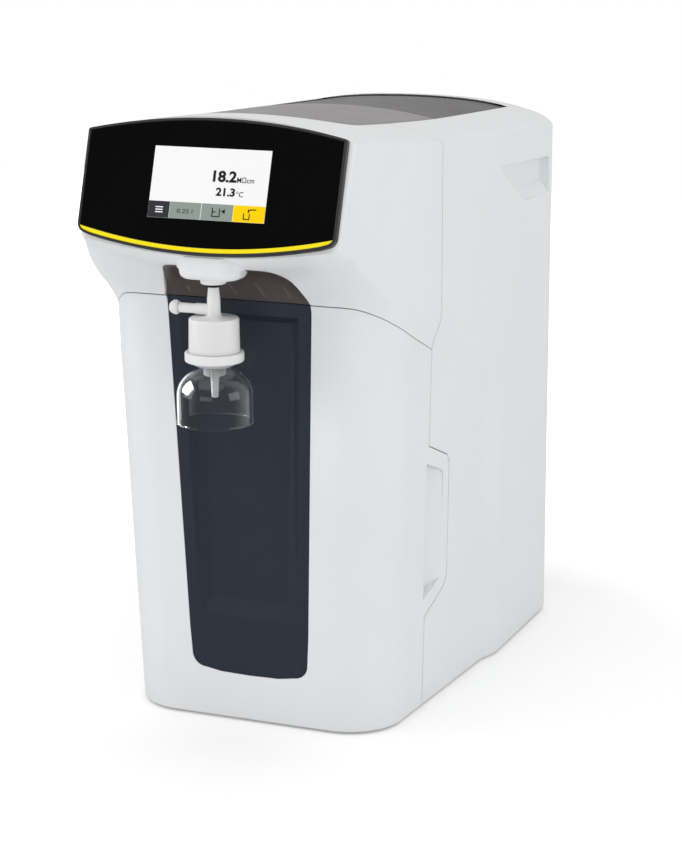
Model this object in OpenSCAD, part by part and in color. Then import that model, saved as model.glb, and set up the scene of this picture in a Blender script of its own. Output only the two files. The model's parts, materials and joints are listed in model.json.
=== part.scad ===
// Bench-top ultrapure water system with a leaning touch display and a dispensing niche.
// +Z is up, the front faces -Y and X = 0 is the plane of symmetry.
// Inside the modules Y = 0 is the foot of the front cover and Z = 0 the lower edge of the shells.
// place() then stands the machine on its feet and centres it.

/* [Body] */
// Width across the rear housing
body_w = 274.4; // [262:0.2:290]
// Depth from the foot of the front cover to the rear face
body_d = 406; // [396:1:440]
// Height of the roof's crown above the front cover
crown_h = 515; // [508:1:535]
// Drop of the roof from front to rear, per mm of depth
roof_fall = 0.0525; // [0.04:0.0005:0.06]
// Radius of the roof's arch across the width
roof_r = 438; // [420:1:600]
// Half width of the front cover at its foot, where it meets the rear housing
foot_half_w = 121.7; // [119:0.1:124]
// How far the sides of the cover lean outwards, per mm of height
side_draft = 0.0229; // [0.018:0.0001:0.024]
// How far the front leans forwards, per mm of height
front_lean = 0.0417; // [0.035:0.0001:0.045]
// Radius of the front vertical corners
front_corner_r = 47; // [40:1:52]
// Radius of the rear vertical corners
rear_corner_r = 20; // [16:1:30]
// Wall thickness of the moulded shells
wall = 3; // [2.4:0.1:3.4]
// Gap shown at the seams between the shells
seam = 0.5; // [0.3:0.1:0.8]

/* [Shoulder and seams] */
// Depth at which the front shells meet the rear housing
seam_y = 89; // [84:1:94]
// Height of the seam between head and front cover, at the front
head_seam_z = 367; // [364:1:372]
// Height of that seam where it meets the rear housing
side_seam_z = 315; // [308:1:322]
// Width of the sloped band below the shoulder line
shoulder_band = 31; // [24:1:36]
// Depth at which the shoulder band turns down to the floor
shoulder_y = 216; // [208:1:226]
// Half width of the recessed flank at the rear of the band
flank_half_w = 130; // [128:0.5:131]

/* [Head and display] */
// Height at which the hollow of the neck begins
neck_z = 361; // [357:1:364]
// Height of the underside of the head
head_floor_z = 400; // [396:1:404]
// Lean of the display from the vertical, in degrees
display_lean = 18.1; // [14:0.1:22]
// Width of the display's frame at its upper corners
display_w = 222.6; // [218:0.2:228]
// Width of the display's frame at its lower corners
display_foot_w = 222.4; // [216:0.2:226]
// Height of the frame at its corners, along the lean
display_h = 83.2; // [78:0.2:86]
// Rise of the frame's upper edge at the middle
display_arch = 12.2; // [10:0.2:12.6]
// Drop of the frame's lower edge at the middle
display_bow = 13.3; // [10:0.1:14]
// Thickness of the display's frame
display_t = 5.5; // [5:0.1:8]
// Width of the rim round the glass
rim_w = 2.2; // [1.5:0.1:4]
// Width of the lit strip below the glass
strip_w = 3.5; // [2:0.1:5]
// Width of the rim below the lit strip
strip_rim_w = 2.1; // [1:0.1:3]
// Width of the screen
screen_w = 100.7; // [90:0.1:105]
// Height of the screen
screen_h = 57; // [50:0.1:60]

/* [Niche] */
// Width of the dark panel at its foot
niche_foot_w = 105.6; // [96:0.2:112]
// Width of the dark panel at its head
niche_head_w = 127.8; // [120:0.2:134]
// Height of the panel's lower edge
niche_z = 44; // [36:1:56]
// Radius of the panel's lower corners
niche_r = 12; // [6:1:20]
// Depth of the recess in the panel at its foot
recess_foot_d = 3; // [2:0.5:5]
// Depth of the recess in the panel at its head
recess_head_d = 10; // [6:0.5:13]
// Width of the sloped walls round the recess
recess_slope_w = 12; // [8:0.5:16]

/* [Dispensing] */
// Distance of the dispensing axis in front of the foot of the cover
outlet_y = -62; // [-66:1:-58]
// Width of the dispensing head
outlet_head_w = 57; // [50:1:62]
// Diameter of the filter's body
filter_d = 40.6; // [36:0.2:44]
// Height of the filter's body, above its flange
filter_h = 27.2; // [22:0.2:32]
// Diameter of the filter's flange
flange_d = 47.5; // [45:0.5:50]
// Diameter of the filter's inlet tube where it enters the nozzle
inlet_d = 8.4; // [7:0.1:9]
// Length of the inlet tube between the nozzle and the filter
inlet_h = 25; // [20:0.5:30]
// Diameter of the bell
bell_d = 61.4; // [56:0.2:66]
// Height of the bell
bell_h = 47; // [40:0.5:52]
// Wall thickness of the bell
bell_wall = 1.4; // [1:0.1:2]
// Radial clearance of parts that turn or slide in each other
fit = 0.05; // [0.02:0.01:0.09]

/* [Grips] */
// Depth of the finger grips in the front cover
grip_d = 11; // [8:0.5:12]
// Depth of the carrying grips in the rear housing
handle_d = 8; // [5:0.5:9]

/* [Top inset] */
// Half width of the inset at its rear
inset_half_w = 96; // [90:1:100]
// Depth at which the inset begins
inset_front_y = 12; // [5:1:20]
// Distance from the inset's rear end to the rear face
inset_rear = 26; // [22:1:46]
// Depth of the joint between lid and tray
inset_joint_y = 187; // [170:1:210]

/* [Feet and base] */
// Height of the rubber feet
foot_h = 2; // [1.5:0.5:5]
// Diameter of the rubber feet
foot_d = 26; // [20:1:32]
// Thickness of the base plate
base_t = 4; // [3:0.5:6]

/* [Cartridges] */
// Diameter of the two cartridges
cartridge_d = 42; // [36:1:44]
// Height of the cartridges' bodies
cartridge_h = 240; // [200:1:250]
// Diameter of the cartridges' necks
neck_d = 24; // [18:1:28]

/* [Hidden] */

shell_white = [0.90, 0.91, 0.92];
panel_dark = [0.20, 0.23, 0.27];
taupe = [0.55, 0.52, 0.52];
taupe_dark = [0.36, 0.33, 0.32];
near = 0.25;          // rest gap between pieces that sit on each other
eps = 0.01;
beyond = 800;         // reach of a cut that runs past the body

display_cos = cos(display_lean);
display_tan = tan(display_lean);
display_z = 467;      // height of the screen's centre
display_y = -67;      // depth of the screen's centre, on the face of the glass
display_up = 40.2;    // from the screen's centre up to the frame's upper corners
display_down = display_h - display_up;
front_y = display_y - (display_down + display_bow) * sin(display_lean);
bell_rim = 0.4;       // bead round the bell's mouth
mid_y = (min(front_y, outlet_y - bell_d / 2 - bell_rim) + body_d) / 2;
half_w = body_w / 2;

module place() translate([0, -mid_y, foot_h]) children();

function lerp(a, b, t) = a + (b - a) * t;
function clamp01(t) = min(1, max(0, t));
function arc(cx, cy, r, a0, a1, n) = [for (i = [0:n]) let (a = lerp(a0, a1, i / n))
    [cx + r * cos(a), cy + r * sin(a)]];
function mirrored(pts) = concat(pts, [for (i = [len(pts) - 1:-1:0]) [-pts[i][0], pts[i][1]]]);

// ---- the body's surface -------------------------------------------------------------------
// The roof is arched over the front and grows squarer towards the rear.
roof_square = 0.63;
side_drop = half_w * half_w / (2 * roof_r);
function roof(x, y) = let (u = x / half_w, k = clamp01((y - seam_y) / (body_d - seam_y)))
    crown_h - roof_fall * y - side_drop * (u * u - u * u * (1 - u * u) * roof_square * k);
function front_at(z) = -front_lean * z;
function rim_at(z) = display_y + (display_t + near) / display_cos + (z - display_z) * display_tan;

// Lower line of the shoulder band, which is also the side seam of the head
seam_curve_y = 13;    // where the seam leaves its straight fall towards the front
seam_slope = 0.46;
function seam_line(y) = side_seam_z + seam_slope * (seam_y - y);

lip_in = 15.3;        // the edge of the head's underside stays this far behind the display
lip_y = rim_at(head_floor_z) + lip_in;
taper_y = 30;         // in front of this depth the neck narrows towards the display
neck_taper = (foot_half_w + side_draft * side_seam_z - display_foot_w / 2) * 0.97;
function flank(y, z) = lerp(foot_half_w + side_draft * min(z, side_seam_z), flank_half_w,
    (y - seam_y) / (shoulder_y - seam_y)) - neck_taper * pow(max(0, taper_y - y) / (taper_y - lip_y), 2);
function head_side(y, z) = let (t = clamp01((seam_y - y) / (seam_y - rim_at(max(z, head_floor_z)))),
    rim = lerp(display_foot_w, display_w, clamp01((z - head_floor_z) / 100)) / 2)
    half_w - (half_w - rim) * pow(t, 1.8);
function on_shoulder(y, z) = let (up = clamp01((z - seam_line(y)) / shoulder_band),
    rear = clamp01((y - shoulder_y) / shoulder_band)) 1 - (1 - up) * (1 - rear);
function side_at(y, z) = lerp(flank(min(y, shoulder_y), z), head_side(y, z), on_shoulder(y, z));

// A ring's level g runs from 0 at the foot over 1 at the shoulder's lower line and 2 at its upper
// line to 3 at the roof. In front, 1 is the foot of the neck and 2 the underside of the head.
corner_lift = 12.4;   // the underside of the head rises towards its corners
rim_corner_r = 8;
edge_r = 2;           // chamfer along the lower edge
edge_drop = 1.6;      // chamfer along the roof's edge
function lift(x) = corner_lift * pow(x / (display_foot_w / 2), 2);
function low_line(y) = min(neck_z, seam_line(min(y, shoulder_y)));
function high_line(x, y) = min(head_floor_z + lift(x), seam_line(min(y, shoulder_y)) + shoulder_band);
function level(x, y, g) = g <= 1 ? lerp(edge_r, low_line(y), g)
    : g <= 2 ? lerp(low_line(y), high_line(x, y), sin(90 * (g - 1)))
    : lerp(high_line(x, y), roof(x, y) - (y > -20 ? edge_drop : 0), g - 2);
function neck_in(g) = g <= 1 ? 0 : g <= 2 ? 1 - cos(90 * (g - 1)) : 1;
function front_of(g) = g <= 1 ? front_at(level(0, 0, g))
    : g <= 2 ? lerp(front_at(neck_z), lip_y, neck_in(g)) : rim_at(level(0, lip_y, g));
function corner_of(g) = lerp(front_corner_r, rim_corner_r, pow(neck_in(g), 0.7));

front_steps = 4;
arc_steps = 8;
flank_ys = [132, 174, shoulder_y, shoulder_y + shoulder_band, body_d - 91];
function half_ring(g) = let (yf = front_of(g), r = corner_of(g), y0 = yf + r,
    w = side_at(y0, level(half_w, y0, g)), wr = half_w - rear_corner_r)
    concat(
        [for (i = [0:front_steps]) [(w - r) * i / front_steps, yf]],
        [for (i = [1:arc_steps]) let (a = 90 * i / arc_steps) [w - r + r * sin(a), y0 - r * cos(a)]],
        [for (i = [1:5]) let (y = lerp(y0, seam_y, i / 5)) [side_at(y, level(half_w, y, g)), y]],
        [for (y = flank_ys) [side_at(y, level(half_w, y, g)), y]],
        arc(wr, body_d - rear_corner_r, rear_corner_r, 0, 90, 5),
        [[half_w / 2, body_d], [0, body_d]]);
function full_ring(h) = concat(h, [for (i = [len(h) - 2:-1:1]) [-h[i][0], h[i][1]]]);
function raised(p, g) = let (z = level(p[0], p[1], g), fade = neck_in(g) * clamp01((0 - p[1]) / 50))
    [p[0], p[1] + (z - level(0, lip_y, g)) * display_tan * fade, z];
function side_ring(g) = [for (p = full_ring(half_ring(g))) raised(p, g)];
function foot_ring(inset) = [for (p = side_ring(0)) let (k = 1 - inset / half_w)
    [p[0] * k, lerp(body_d / 2, p[1], k), 0]];
roof_mid_y = 170;
function roof_ring(m) = [for (p = side_ring(3)) let (x = p[0] * m, y = lerp(roof_mid_y, p[1], m))
    [x, y, roof(x, y)]];
body_rings = concat([foot_ring(edge_r)], [for (g = [0, 0.5]) side_ring(g)],
    [for (i = [0:6]) side_ring(1 + i / 6)], [for (v = [0.12, 0.4, 0.7, 1]) side_ring(2 + v)],
    [for (m = [0.985, 0.8, 0.55, 0.3]) roof_ring(m)]);

// Skin over closed rings of equal length, capped flat at the foot and by a fan at the top
module skin(rings) {
    n = len(rings[0]);
    last = len(rings) - 1;
    pts = concat([for (r = rings) each r], [[0, roof_mid_y, rings[last][0][2]]]);
    sides = [for (j = [0:last - 1], i = [0:n - 1]) let (k = (i + 1) % n, a = j * n + i, b = j * n + k,
        c = (j + 1) * n + k, d = (j + 1) * n + i) each [[a, c, b], [a, d, c]]];
    foot = [for (i = [1:n - 2]) [0, i, i + 1]];
    top = [for (i = [0:n - 1]) [last * n + i, (last + 1) * n, last * n + (i + 1) % n]];
    polyhedron(pts, concat(sides, foot, top), convexity = 8);
}
module body_form() skin(body_rings);

// Loft over flat rings of equal length, with a flat cap at each end
module loft(rings) {
    n = len(rings[0]);
    last = (len(rings) - 1) * n;
    sides = [for (j = [0:n:last - 1], i = [0:n - 1]) let (k = (i + 1) % n)
        each [[j + i, j + n + k, j + k], [j + i, j + n + i, j + n + k]]];
    polyhedron([for (r = rings) each r], concat(sides, [[for (i = [0:n - 1]) i]],
        [[for (i = [n - 1:-1:0]) last + i]]), convexity = 4);
}
// Prism between two outlines of equal length at two heights
module draft_prism(low, z_low, high, z_high)
    loft([[for (p = low) [p[0], p[1], z_low]], [for (p = high) [p[0], p[1], z_high]]]);
// Slab that follows the roof inside the outline with this half, from t0 to t1 below the roof
module roof_slab(half, t0, t1) {
    ring = full_ring(half);
    n = len(ring);
    y_mid = (half[0][1] + half[len(half) - 1][1]) / 2;
    steps = [[0.33, t1], [0.67, t1], [1, t1], [1, t0], [0.67, t0], [0.33, t0]];
    last = (len(steps) - 1) * n;
    pts = [for (s = steps, p = ring) let (x = p[0] * s[0], y = lerp(y_mid, p[1], s[0]))
        [x, y, roof(x, y) - s[1]]];
    tips = [for (t = [t1, t0]) [0, y_mid, roof(0, y_mid) - t]];
    sides = [for (j = [0:n:last - 1], i = [0:n - 1]) let (k = (i + 1) % n)
        each [[j + i, j + n + k, j + k], [j + i, j + n + i, j + n + k]]];
    ends = [for (i = [0:n - 1]) let (k = (i + 1) % n)
        each [[last + n, i, k], [last + i, last + n + 1, last + k]]];
    polyhedron(concat(pts, tips), concat(sides, ends), convexity = 4);
}
// Outline of the lower body, moved in by t, from the front back to y_back
function lower_outline(z, t, y_back) = let (yf = front_at(z) + t, r = front_corner_r - t,
    w = flank(front_corner_r, z) - t, wb = flank(min(y_back, shoulder_y), z) - t)
    mirrored(concat([for (i = [0:6]) let (a = 90 * i / 6) [w - r + r * sin(a), yf + r - r * cos(a)]],
        [[wb, min(y_back, shoulder_y)], [wb, y_back]]));
// Room inside the lower body, moved in by t
module lower_space(t, y_back, z0, z1)
    draft_prism(lower_outline(z0, t, y_back), z0, lower_outline(z1, t, y_back), z1);

// A side-view outline (Y, Z), run through the whole width
module across(pts, w = 400) rotate([90, 0, 90]) linear_extrude(w, center = true) polygon(pts);

// Grip tab of the front cover in side view: it reaches back into the rear housing
tab_y = 137;
tab_low = 80;
tab_high = 232;
tab_slope = 17;       // fall of the tab's upper and lower edges over its length
function tab(g) = [[seam_y - g, tab_low + g], [tab_y - 5 - g, tab_low + tab_slope + g],
    [tab_y - g, tab_low + tab_slope + 8 + g], [tab_y - g, tab_high - tab_slope - 8 - g],
    [tab_y - 5 - g, tab_high - tab_slope - g], [seam_y - g, tab_high - g]];
function seam_path(g) = [[seam_y, side_seam_z - g], [seam_curve_y, seam_line(seam_curve_y) - g],
    [6, lerp(head_seam_z, seam_line(seam_curve_y), 0.55) - g],
    [-3, lerp(head_seam_z, seam_line(seam_curve_y), 0.18) - g], [-14, head_seam_z - g],
    [-300, head_seam_z - g]];
function cover_side(g) = concat([[-300, -10], [seam_y - g, -10]], tab(g),
    [[seam_y - g, side_seam_z - g]], [for (i = [1:5]) seam_path(g)[i]]);
function head_side_view(g) = concat([[-300, beyond], [seam_y - g, beyond], [seam_y - g, side_seam_z + g]],
    [for (i = [1:5]) seam_path(-g)[i]]);
function rear_side_view() = concat([[beyond, beyond], [beyond, -10], [seam_y, -10]], tab(0), [[seam_y, beyond]]);

// ---- shells -------------------------------------------------------------------------------
function wide_outline(t) = mirrored(concat(arc(half_w - t - rear_corner_r, body_d - t - rear_corner_r,
    rear_corner_r, 90, 0, 5), [[half_w - t, -20]]));
module roof_space(drop, w) intersection() {
    translate([0, -100, 0]) rotate([-atan(roof_fall), 0, 0])
        rotate([-90, 0, 0]) linear_extrude(beyond) mirror([0, 1])
            polygon(concat([for (x = [-w:w / 6:w]) [x, roof(x, -100) - drop]], [[w, -20], [-w, -20]]));
    translate([-w, -200, -20]) cube([2 * w, beyond, beyond]);
}

handle_rear_y = body_d - 26;
handle_front_y = handle_rear_y - 144;
handle_top_z = 447;
handle_low_z = 409;
handle_ramp = 13;     // height of the slope below the grip's floor
module carrying_grip() for (side = [0, 1]) mirror([side, 0, 0]) intersection() {
    across([[handle_front_y, handle_top_z + 3], [handle_front_y + 72, handle_low_z + 2],
        [handle_rear_y, handle_low_z], [handle_rear_y - 2, handle_top_z - 4]]);
    linear_extrude(beyond) polygon([[half_w + 5, handle_front_y], [half_w, handle_front_y],
        [half_w - handle_d, handle_front_y + 90], [half_w - handle_d, handle_rear_y - 4],
        [half_w, handle_rear_y], [half_w + 5, handle_rear_y]]);
    upright(0, beyond) polygon([[half_w + 5, handle_low_z - 5], [half_w + 1, handle_low_z - 1],
        [half_w - handle_d, handle_low_z + handle_ramp], [half_w - handle_d, handle_top_z + 50],
        [half_w + 5, handle_top_z + 50]]);
}

port_bay_w = 180;
port_bay_z = 40;
port_bay_h = 210;
port_bay_d = 14;
module port_bay(t) translate([-port_bay_w / 2 - t, body_d - port_bay_d - 3, port_bay_z - t])
    cube([port_bay_w + 2 * t, 100, port_bay_h + 2 * t]);

inset_rear_y = body_d - inset_rear;
// Half of the inset's outline, moved in by t
function inset_sides(t) = let (w = inset_half_w - t)
    [[w - 6, 104], [w, 194], [w + 1, inset_rear_y - t - 6]];
function inset_half(t) = let (w = inset_half_w - t, y0 = inset_front_y + t, y1 = inset_rear_y - t) concat(
    [[0, y0 - 7], [24, y0 - 5], [48, y0 + 1], [68, y0 + 9], [w - 16, y0 + 19], [w - 12, y0 + 30]],
    inset_sides(t), [[w - 4, y1], [50, y1 + 4], [0, y1 + 6]]);

module inset_cut() translate([0, 0, roof(0, body_d) - 53]) linear_extrude(beyond)
    polygon(mirrored(inset_half(0)));

module rear_housing() color(shell_white) difference() {
    intersection() {
        body_form();
        across(rear_side_view());
    }
    difference() {
        intersection() {
            translate([0, 0, -10]) linear_extrude(beyond) polygon(wide_outline(wall));
            union() {
                lower_space(wall, body_d, -10, roof(0, body_d) - 60);
                across([[shoulder_y + shoulder_band + wall, -10], [body_d - wall, -10], [body_d - wall, beyond],
                    [-100, beyond], [-100, seam_line(-100) + shoulder_band + 4],
                    [shoulder_y, seam_line(shoulder_y) + shoulder_band + 4],
                    [shoulder_y + shoulder_band + wall, seam_line(shoulder_y) + 4]]);
            }
        }
        translate([0, 0, -wall]) difference() {
            translate([-body_w, -100, roof(0, body_d) - 190]) cube([2 * body_w, beyond, 400]);
            roof_space(0, half_w + 8);
        }
        port_bay(wall);
        for (side = [-1, 1]) translate([side * (half_w - (handle_d + wall) / 2),
            (handle_front_y + handle_rear_y) / 2, (handle_top_z + handle_low_z) / 2])
            cube([handle_d + wall, handle_rear_y - handle_front_y + 2 * wall + 4, 52], center = true);
    }
    port_bay(0);
    carrying_grip();
    inset_cut();
}

// The neck's front profile in side view, moved in by t, from the angle a0 up
function neck_arc(t, a0 = 0) = [for (i = [0:6]) let (a = lerp(a0, 90, i / 6),
    y_end = lip_y + wall * 0.8 + (t - wall) * display_tan)
    [lerp(front_at(neck_z), y_end, 1 - cos(a)) + t * cos(a), lerp(neck_z, head_floor_z, sin(a)) + t * sin(a)]];
arch_half_w = 64.5;
function arch_outline(t) = mirrored([[0, lip_y + 5 - t], [42 + t, lip_y + 5 - t], [48 + t, lip_y + 10 - t],
    [52.5 + t, lip_y + 22], [57 + t, lip_y + 40], [60.5 + t, -18], [arch_half_w + t, -6],
    [arch_half_w + t, 40]]);
head_rear_y = seam_y + 10;                // the hollow of the head runs out behind the seam
head_open_z = side_seam_z - 115;          // and below it
module head_hollow() intersection() {
    translate([0, 0, head_open_z]) linear_extrude(beyond) polygon(mirrored([[104, -120], [104, -62], [108, -30],
        [116, 5], [124, 50], [126, head_rear_y]]));
    // The floor of the hollow rises in steps, as the underside does towards its corners
    union() for (x = [40, 60, 76, 90, 104]) let (z = head_floor_z + lift(x) + 16) across(concat(
        [[head_rear_y, head_open_z], [front_at(head_seam_z) + wall, head_open_z]], neck_arc(wall + lift(x)),
        [[rim_at(z) + wall + 1, z], [rim_at(beyond) + wall + 1, beyond], [head_rear_y, beyond]]), 2 * x);
    roof_space(wall, half_w + 13);
}
module display_opening() on_display() translate([0, 0, -60]) linear_extrude(60) polygon(display_outline(7));
module side_hollow() intersection() {
    translate([0, 0, head_open_z]) linear_extrude(beyond)
        polygon(mirrored([[112, 20], [124, 60], [126, head_rear_y]]));
    across([[head_rear_y, head_open_z], [20, head_open_z], [20, crown_h - 45], [head_rear_y, crown_h - 45]]);
}
module head_cover() color(shell_white) difference() {
    union() {
        intersection() {
            body_form();
            across(head_side_view(seam));
        }
        outlet_block();
    }
    head_hollow();
    on_display() translate([0, 0, -display_t - near]) linear_extrude(60)
        offset(delta = near) polygon(display_outline(0));
    display_opening();
    side_hollow();
    difference() {
        translate([0, 0, head_floor_z - 100]) linear_extrude(106) polygon(arch_outline(0));
        outlet_block();
    }
    inset_cut();
    translate([0, outlet_y, head_floor_z - 30]) cylinder(60, d = nozzle_d + 2 * near, $fn = 64);
}

grip_front_y = 85;
grip_rear_y = 123;
module finger_grip() intersection() {
    across([[grip_front_y, 97], [grip_rear_y - 3, 107], [grip_rear_y, 112], [grip_rear_y, 199],
        [grip_rear_y - 3, 204], [grip_front_y, 217]]);
    for (side = [-1, 1]) translate([0, 0, 90]) linear_extrude(135)
        polygon([for (p = [[20, grip_rear_y], [0, grip_rear_y], [-grip_d, grip_front_y + 12], [-grip_d, grip_front_y],
            [20, grip_front_y]]) [side * (flank(grip_rear_y, 160) + p[0]), p[1]]]);
}
module grip_pocket() intersection() {
    translate([0, 0, 92]) linear_extrude(131) polygon(concat(
        [[200, grip_rear_y + wall], [200, grip_front_y - wall]],
        [[flank(grip_rear_y, 160) - grip_d - wall, grip_front_y - wall],
        [flank(grip_rear_y, 160) - grip_d - wall, grip_front_y + 12],
        [flank(grip_rear_y, 160) - wall - 1, grip_rear_y + wall]]));
    translate([0, -100, 0]) cube([300, 400, 400]);
}

module niche_outline(t, above = 0) {
    n = niche_r + t;
    head = niche_head_w / 2 + t;
    low = niche_foot_w / 2 + t;
    polygon(mirrored(concat(above > 0 ? [[head, head_seam_z + above]] : [],
        [[head, head_seam_z - 0.4], [low + 1.5, niche_z + 3 * n]],
        arc(low - n, niche_z + n - t, n, 0, -90, 6), [[low / 2, niche_z - 2.4 - t], [0, niche_z - 3 - t]])));
}
module upright(y0, y1) translate([0, y1, 0]) rotate([90, 0, 0]) linear_extrude(y1 - y0) children();
module front_cover() color(shell_white) difference() {
    intersection() {
        body_form();
        across(cover_side(seam));
    }
    difference() {
        lower_space(wall, tab_y + 10, -10, head_seam_z + 20);
        for (side = [0, 1]) mirror([side, 0, 0]) grip_pocket();
    }
    upright(-60, 40) niche_outline(seam, 40);
    finger_grip();
}

// ---- niche --------------------------------------------------------------------------------
lean_angle = atan(front_lean);
module leaning() rotate([lean_angle, 0, 0]) children();
panel_t = 2.6;
recess_edge = 8.5;    // width of the flat border round the recess
function recess_half(z, t) = niche_half(z) - recess_edge - t;
recess_low = 84;
recess_high = 356;
function recess_floor_y(z) = lerp(front_at(recess_low) + recess_foot_d, front_at(recess_high) + recess_head_d,
    (z - recess_low) / (recess_high - recess_low));
module recess_form(d) hull() for (k = [0, 1]) {
    s = k * recess_slope_w;
    low = recess_low + k * 24 - d;
    high = recess_high - k * 8 + d;
    for (side = [-1, 1], z = [low, high]) translate([side * (recess_half(z, s) + d),
        k == 0 ? front_at(z) - 2 : recess_floor_y(z) + d, z]) cube([eps, eps, eps], center = true);
}
module niche_panel() color(panel_dark) difference() {
    union() {
        leaning() upright(0, panel_t) niche_outline(0);
        recess_form(panel_t);
    }
    recess_form(0);
    translate([-100, -60, 0]) cube([200, 60 + front_at(head_seam_z) - 3, 400]);
    leaning() upright(-30, 0) translate([-100, 0]) square([200, 420]);
}

liner_t = 2;
liner_a0 = 12;
module recess_liner() color(taupe_dark) difference() {
    intersection() {
        across(concat(neck_arc(wall, liner_a0), [for (i = [6:-1:0]) neck_arc(wall + liner_t, liner_a0)[i]]));
        translate([0, 0, head_floor_z - 100]) linear_extrude(130) polygon(arch_outline(-near));
    }
    translate([-outlet_head_w / 2 - 1 - near, -200, head_floor_z - 100])
        cube([outlet_head_w + 2 + 2 * near, 200 + outlet_y + block_half_d + near, 200]);
}

// ---- display ------------------------------------------------------------------------------
module on_display() translate([0, display_y, display_z]) rotate([90 - display_lean, 0, 0]) children();
function arch_r(half, rise) = (half * half + rise * rise) / (2 * rise);
function edge_point(half, rise, x, base) = let (r = arch_r(half, rise)) base + rise - r + sqrt(r * r - x * x);
function display_outline(t) = let (top = display_w / 2 - t, low = display_foot_w / 2 - t, r = rim_corner_r - t)
    mirrored(concat([for (i = [0:10]) let (x = top * i / 10)
        [x, edge_point(display_w / 2, display_arch, x, display_up) - t]],
        [[low + (top - low) * 0.12, -display_down + t + r]],
        arc(low - r, -display_down + t + r - 1, r, 0, -70, 4),
        [for (i = [9:-1:0]) let (x = (low - r) * i / 10)
            [x, -edge_point(display_foot_w / 2, display_bow, x, display_down) + t]]));
function strip_line(i, up) = let (w = display_foot_w / 2, x = (w - rim_w - 0.8) * i / 14)
    [x, -edge_point(w, display_bow, x, display_down) + strip_rim_w + up];
// The strip ends where the frame's lower corners turn up
module strip_outline() intersection() {
    polygon(concat([for (i = [-14:14]) strip_line(i, -1)], [for (i = [14:-1:-14]) strip_line(i, strip_w)]));
    polygon(display_outline(strip_rim_w));
}
glass_t = 2;
module display_housing() color([0.16, 0.16, 0.17]) on_display() difference() {
    translate([0, 0, -display_t]) linear_extrude(display_t) polygon(display_outline(0));
    translate([0, 0, -glass_t - near]) linear_extrude(display_t) polygon(display_outline(rim_w));
    translate([0, 0, -glass_t - near]) linear_extrude(display_t) offset(delta = near) strip_outline();
    translate([-screen_w / 2 - 4, -screen_h / 2 - 4, -display_t + 1.5])
        cube([screen_w + 8, screen_h + 8, display_t]);
}
module display_glass() color([0.03, 0.03, 0.035]) on_display() difference() {
    translate([0, 0, -glass_t]) linear_extrude(glass_t - 0.1) polygon(display_outline(rim_w + near));
    translate([-screen_w / 2, -screen_h / 2, -5]) cube([screen_w, screen_h, 10]);
    translate([0, 0, -5]) linear_extrude(10) offset(delta = near) strip_outline();
}
module touch_screen() color([0.95, 0.96, 0.97]) on_display() union() {
    translate([-screen_w / 2 + near, -screen_h / 2 + near, -3])
        cube([screen_w - 2 * near, screen_h - 2 * near, 2.8]);
    translate([-screen_w / 2 - 3, -screen_h / 2 - 3, -display_t + 1.5 + near])
        cube([screen_w + 6, screen_h + 6, display_t - 1.5 - glass_t - 2 * near - 0.5]);
}
module light_strip() color([1, 0.9, 0]) on_display() translate([0, 0, -glass_t])
    linear_extrude(glass_t) strip_outline();

// ---- dispensing ---------------------------------------------------------------------------
outlet_head_z = 390.5;
nozzle_d = 20.8;
nozzle_h = 8;
seal_d = 12;
inlet_top_z = outlet_head_z + 4;
filter_top_z = outlet_head_z - 5 - inlet_h;
flange_z = filter_top_z - filter_h;
flange_h = 8;
collar_z = flange_z - flange_h - 4.4;
collar_h = 7.4;
collar_d = 16.8;
outlet_low_z = collar_z - collar_h - 18.8;
bell_top_z = collar_z - near;
module at_outlet(z) translate([0, outlet_y, z]) children();

// Block below the head that carries the nozzle, moulded in one with the head's shell
block_half_d = 22;
module outlet_block() hull() for (x = [-1, 1], y = [-1, 1]) {
    translate([x * (outlet_head_w / 2 - 14), outlet_y + y * (block_half_d - 14), outlet_head_z + 7])
        rotate_extrude($fn = 32) translate([7, 0]) circle(7, $fn = 20);
    translate([x * (outlet_head_w / 2 - 12), outlet_y + y * 4 + 4, head_floor_z + 14])
        cylinder(2, r = 13.5, $fn = 32);
}
// Valve body that sits in the head above the nozzle
module dispense_head() color([0.25, 0.26, 0.28]) at_outlet(head_floor_z + 16 + near) difference() {
    union() {
        cylinder(5, d = 16, $fn = 48);
        translate([-8, 0, 0]) cube([16, 20, 5]);
        translate([-20, 12, 0]) cube([40, 34, 16]);
        translate([0, 30, 15]) cylinder(24, d = 22, $fn = 48);
    }
    translate([0, 0, -1]) cylinder(4, d = 3, $fn = 32);
}
module nozzle() color(shell_white) at_outlet(outlet_head_z - 3) difference() {
    cylinder(nozzle_h + 6, d = nozzle_d, $fn = 64);
    translate([0, 0, -1]) cylinder(nozzle_h + 1 + near, d = seal_d + 2 * near, $fn = 64);
    cylinder(30, d = 3, $fn = 32);
}
module nozzle_seal() color([0.05, 0.05, 0.05]) at_outlet(outlet_head_z - 4.4) difference() {
    cylinder(nozzle_h, d = seal_d, $fn = 64);
    translate([0, 0, -1]) cylinder(nozzle_h + 2, d = inlet_d + 2 * fit, $fn = 64);
}
vent_z = filter_top_z + 6;
vent_l = 31;
vent_d = 6;
module along_vent() at_outlet(vent_z) rotate([0, -90, 0]) children();
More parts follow.
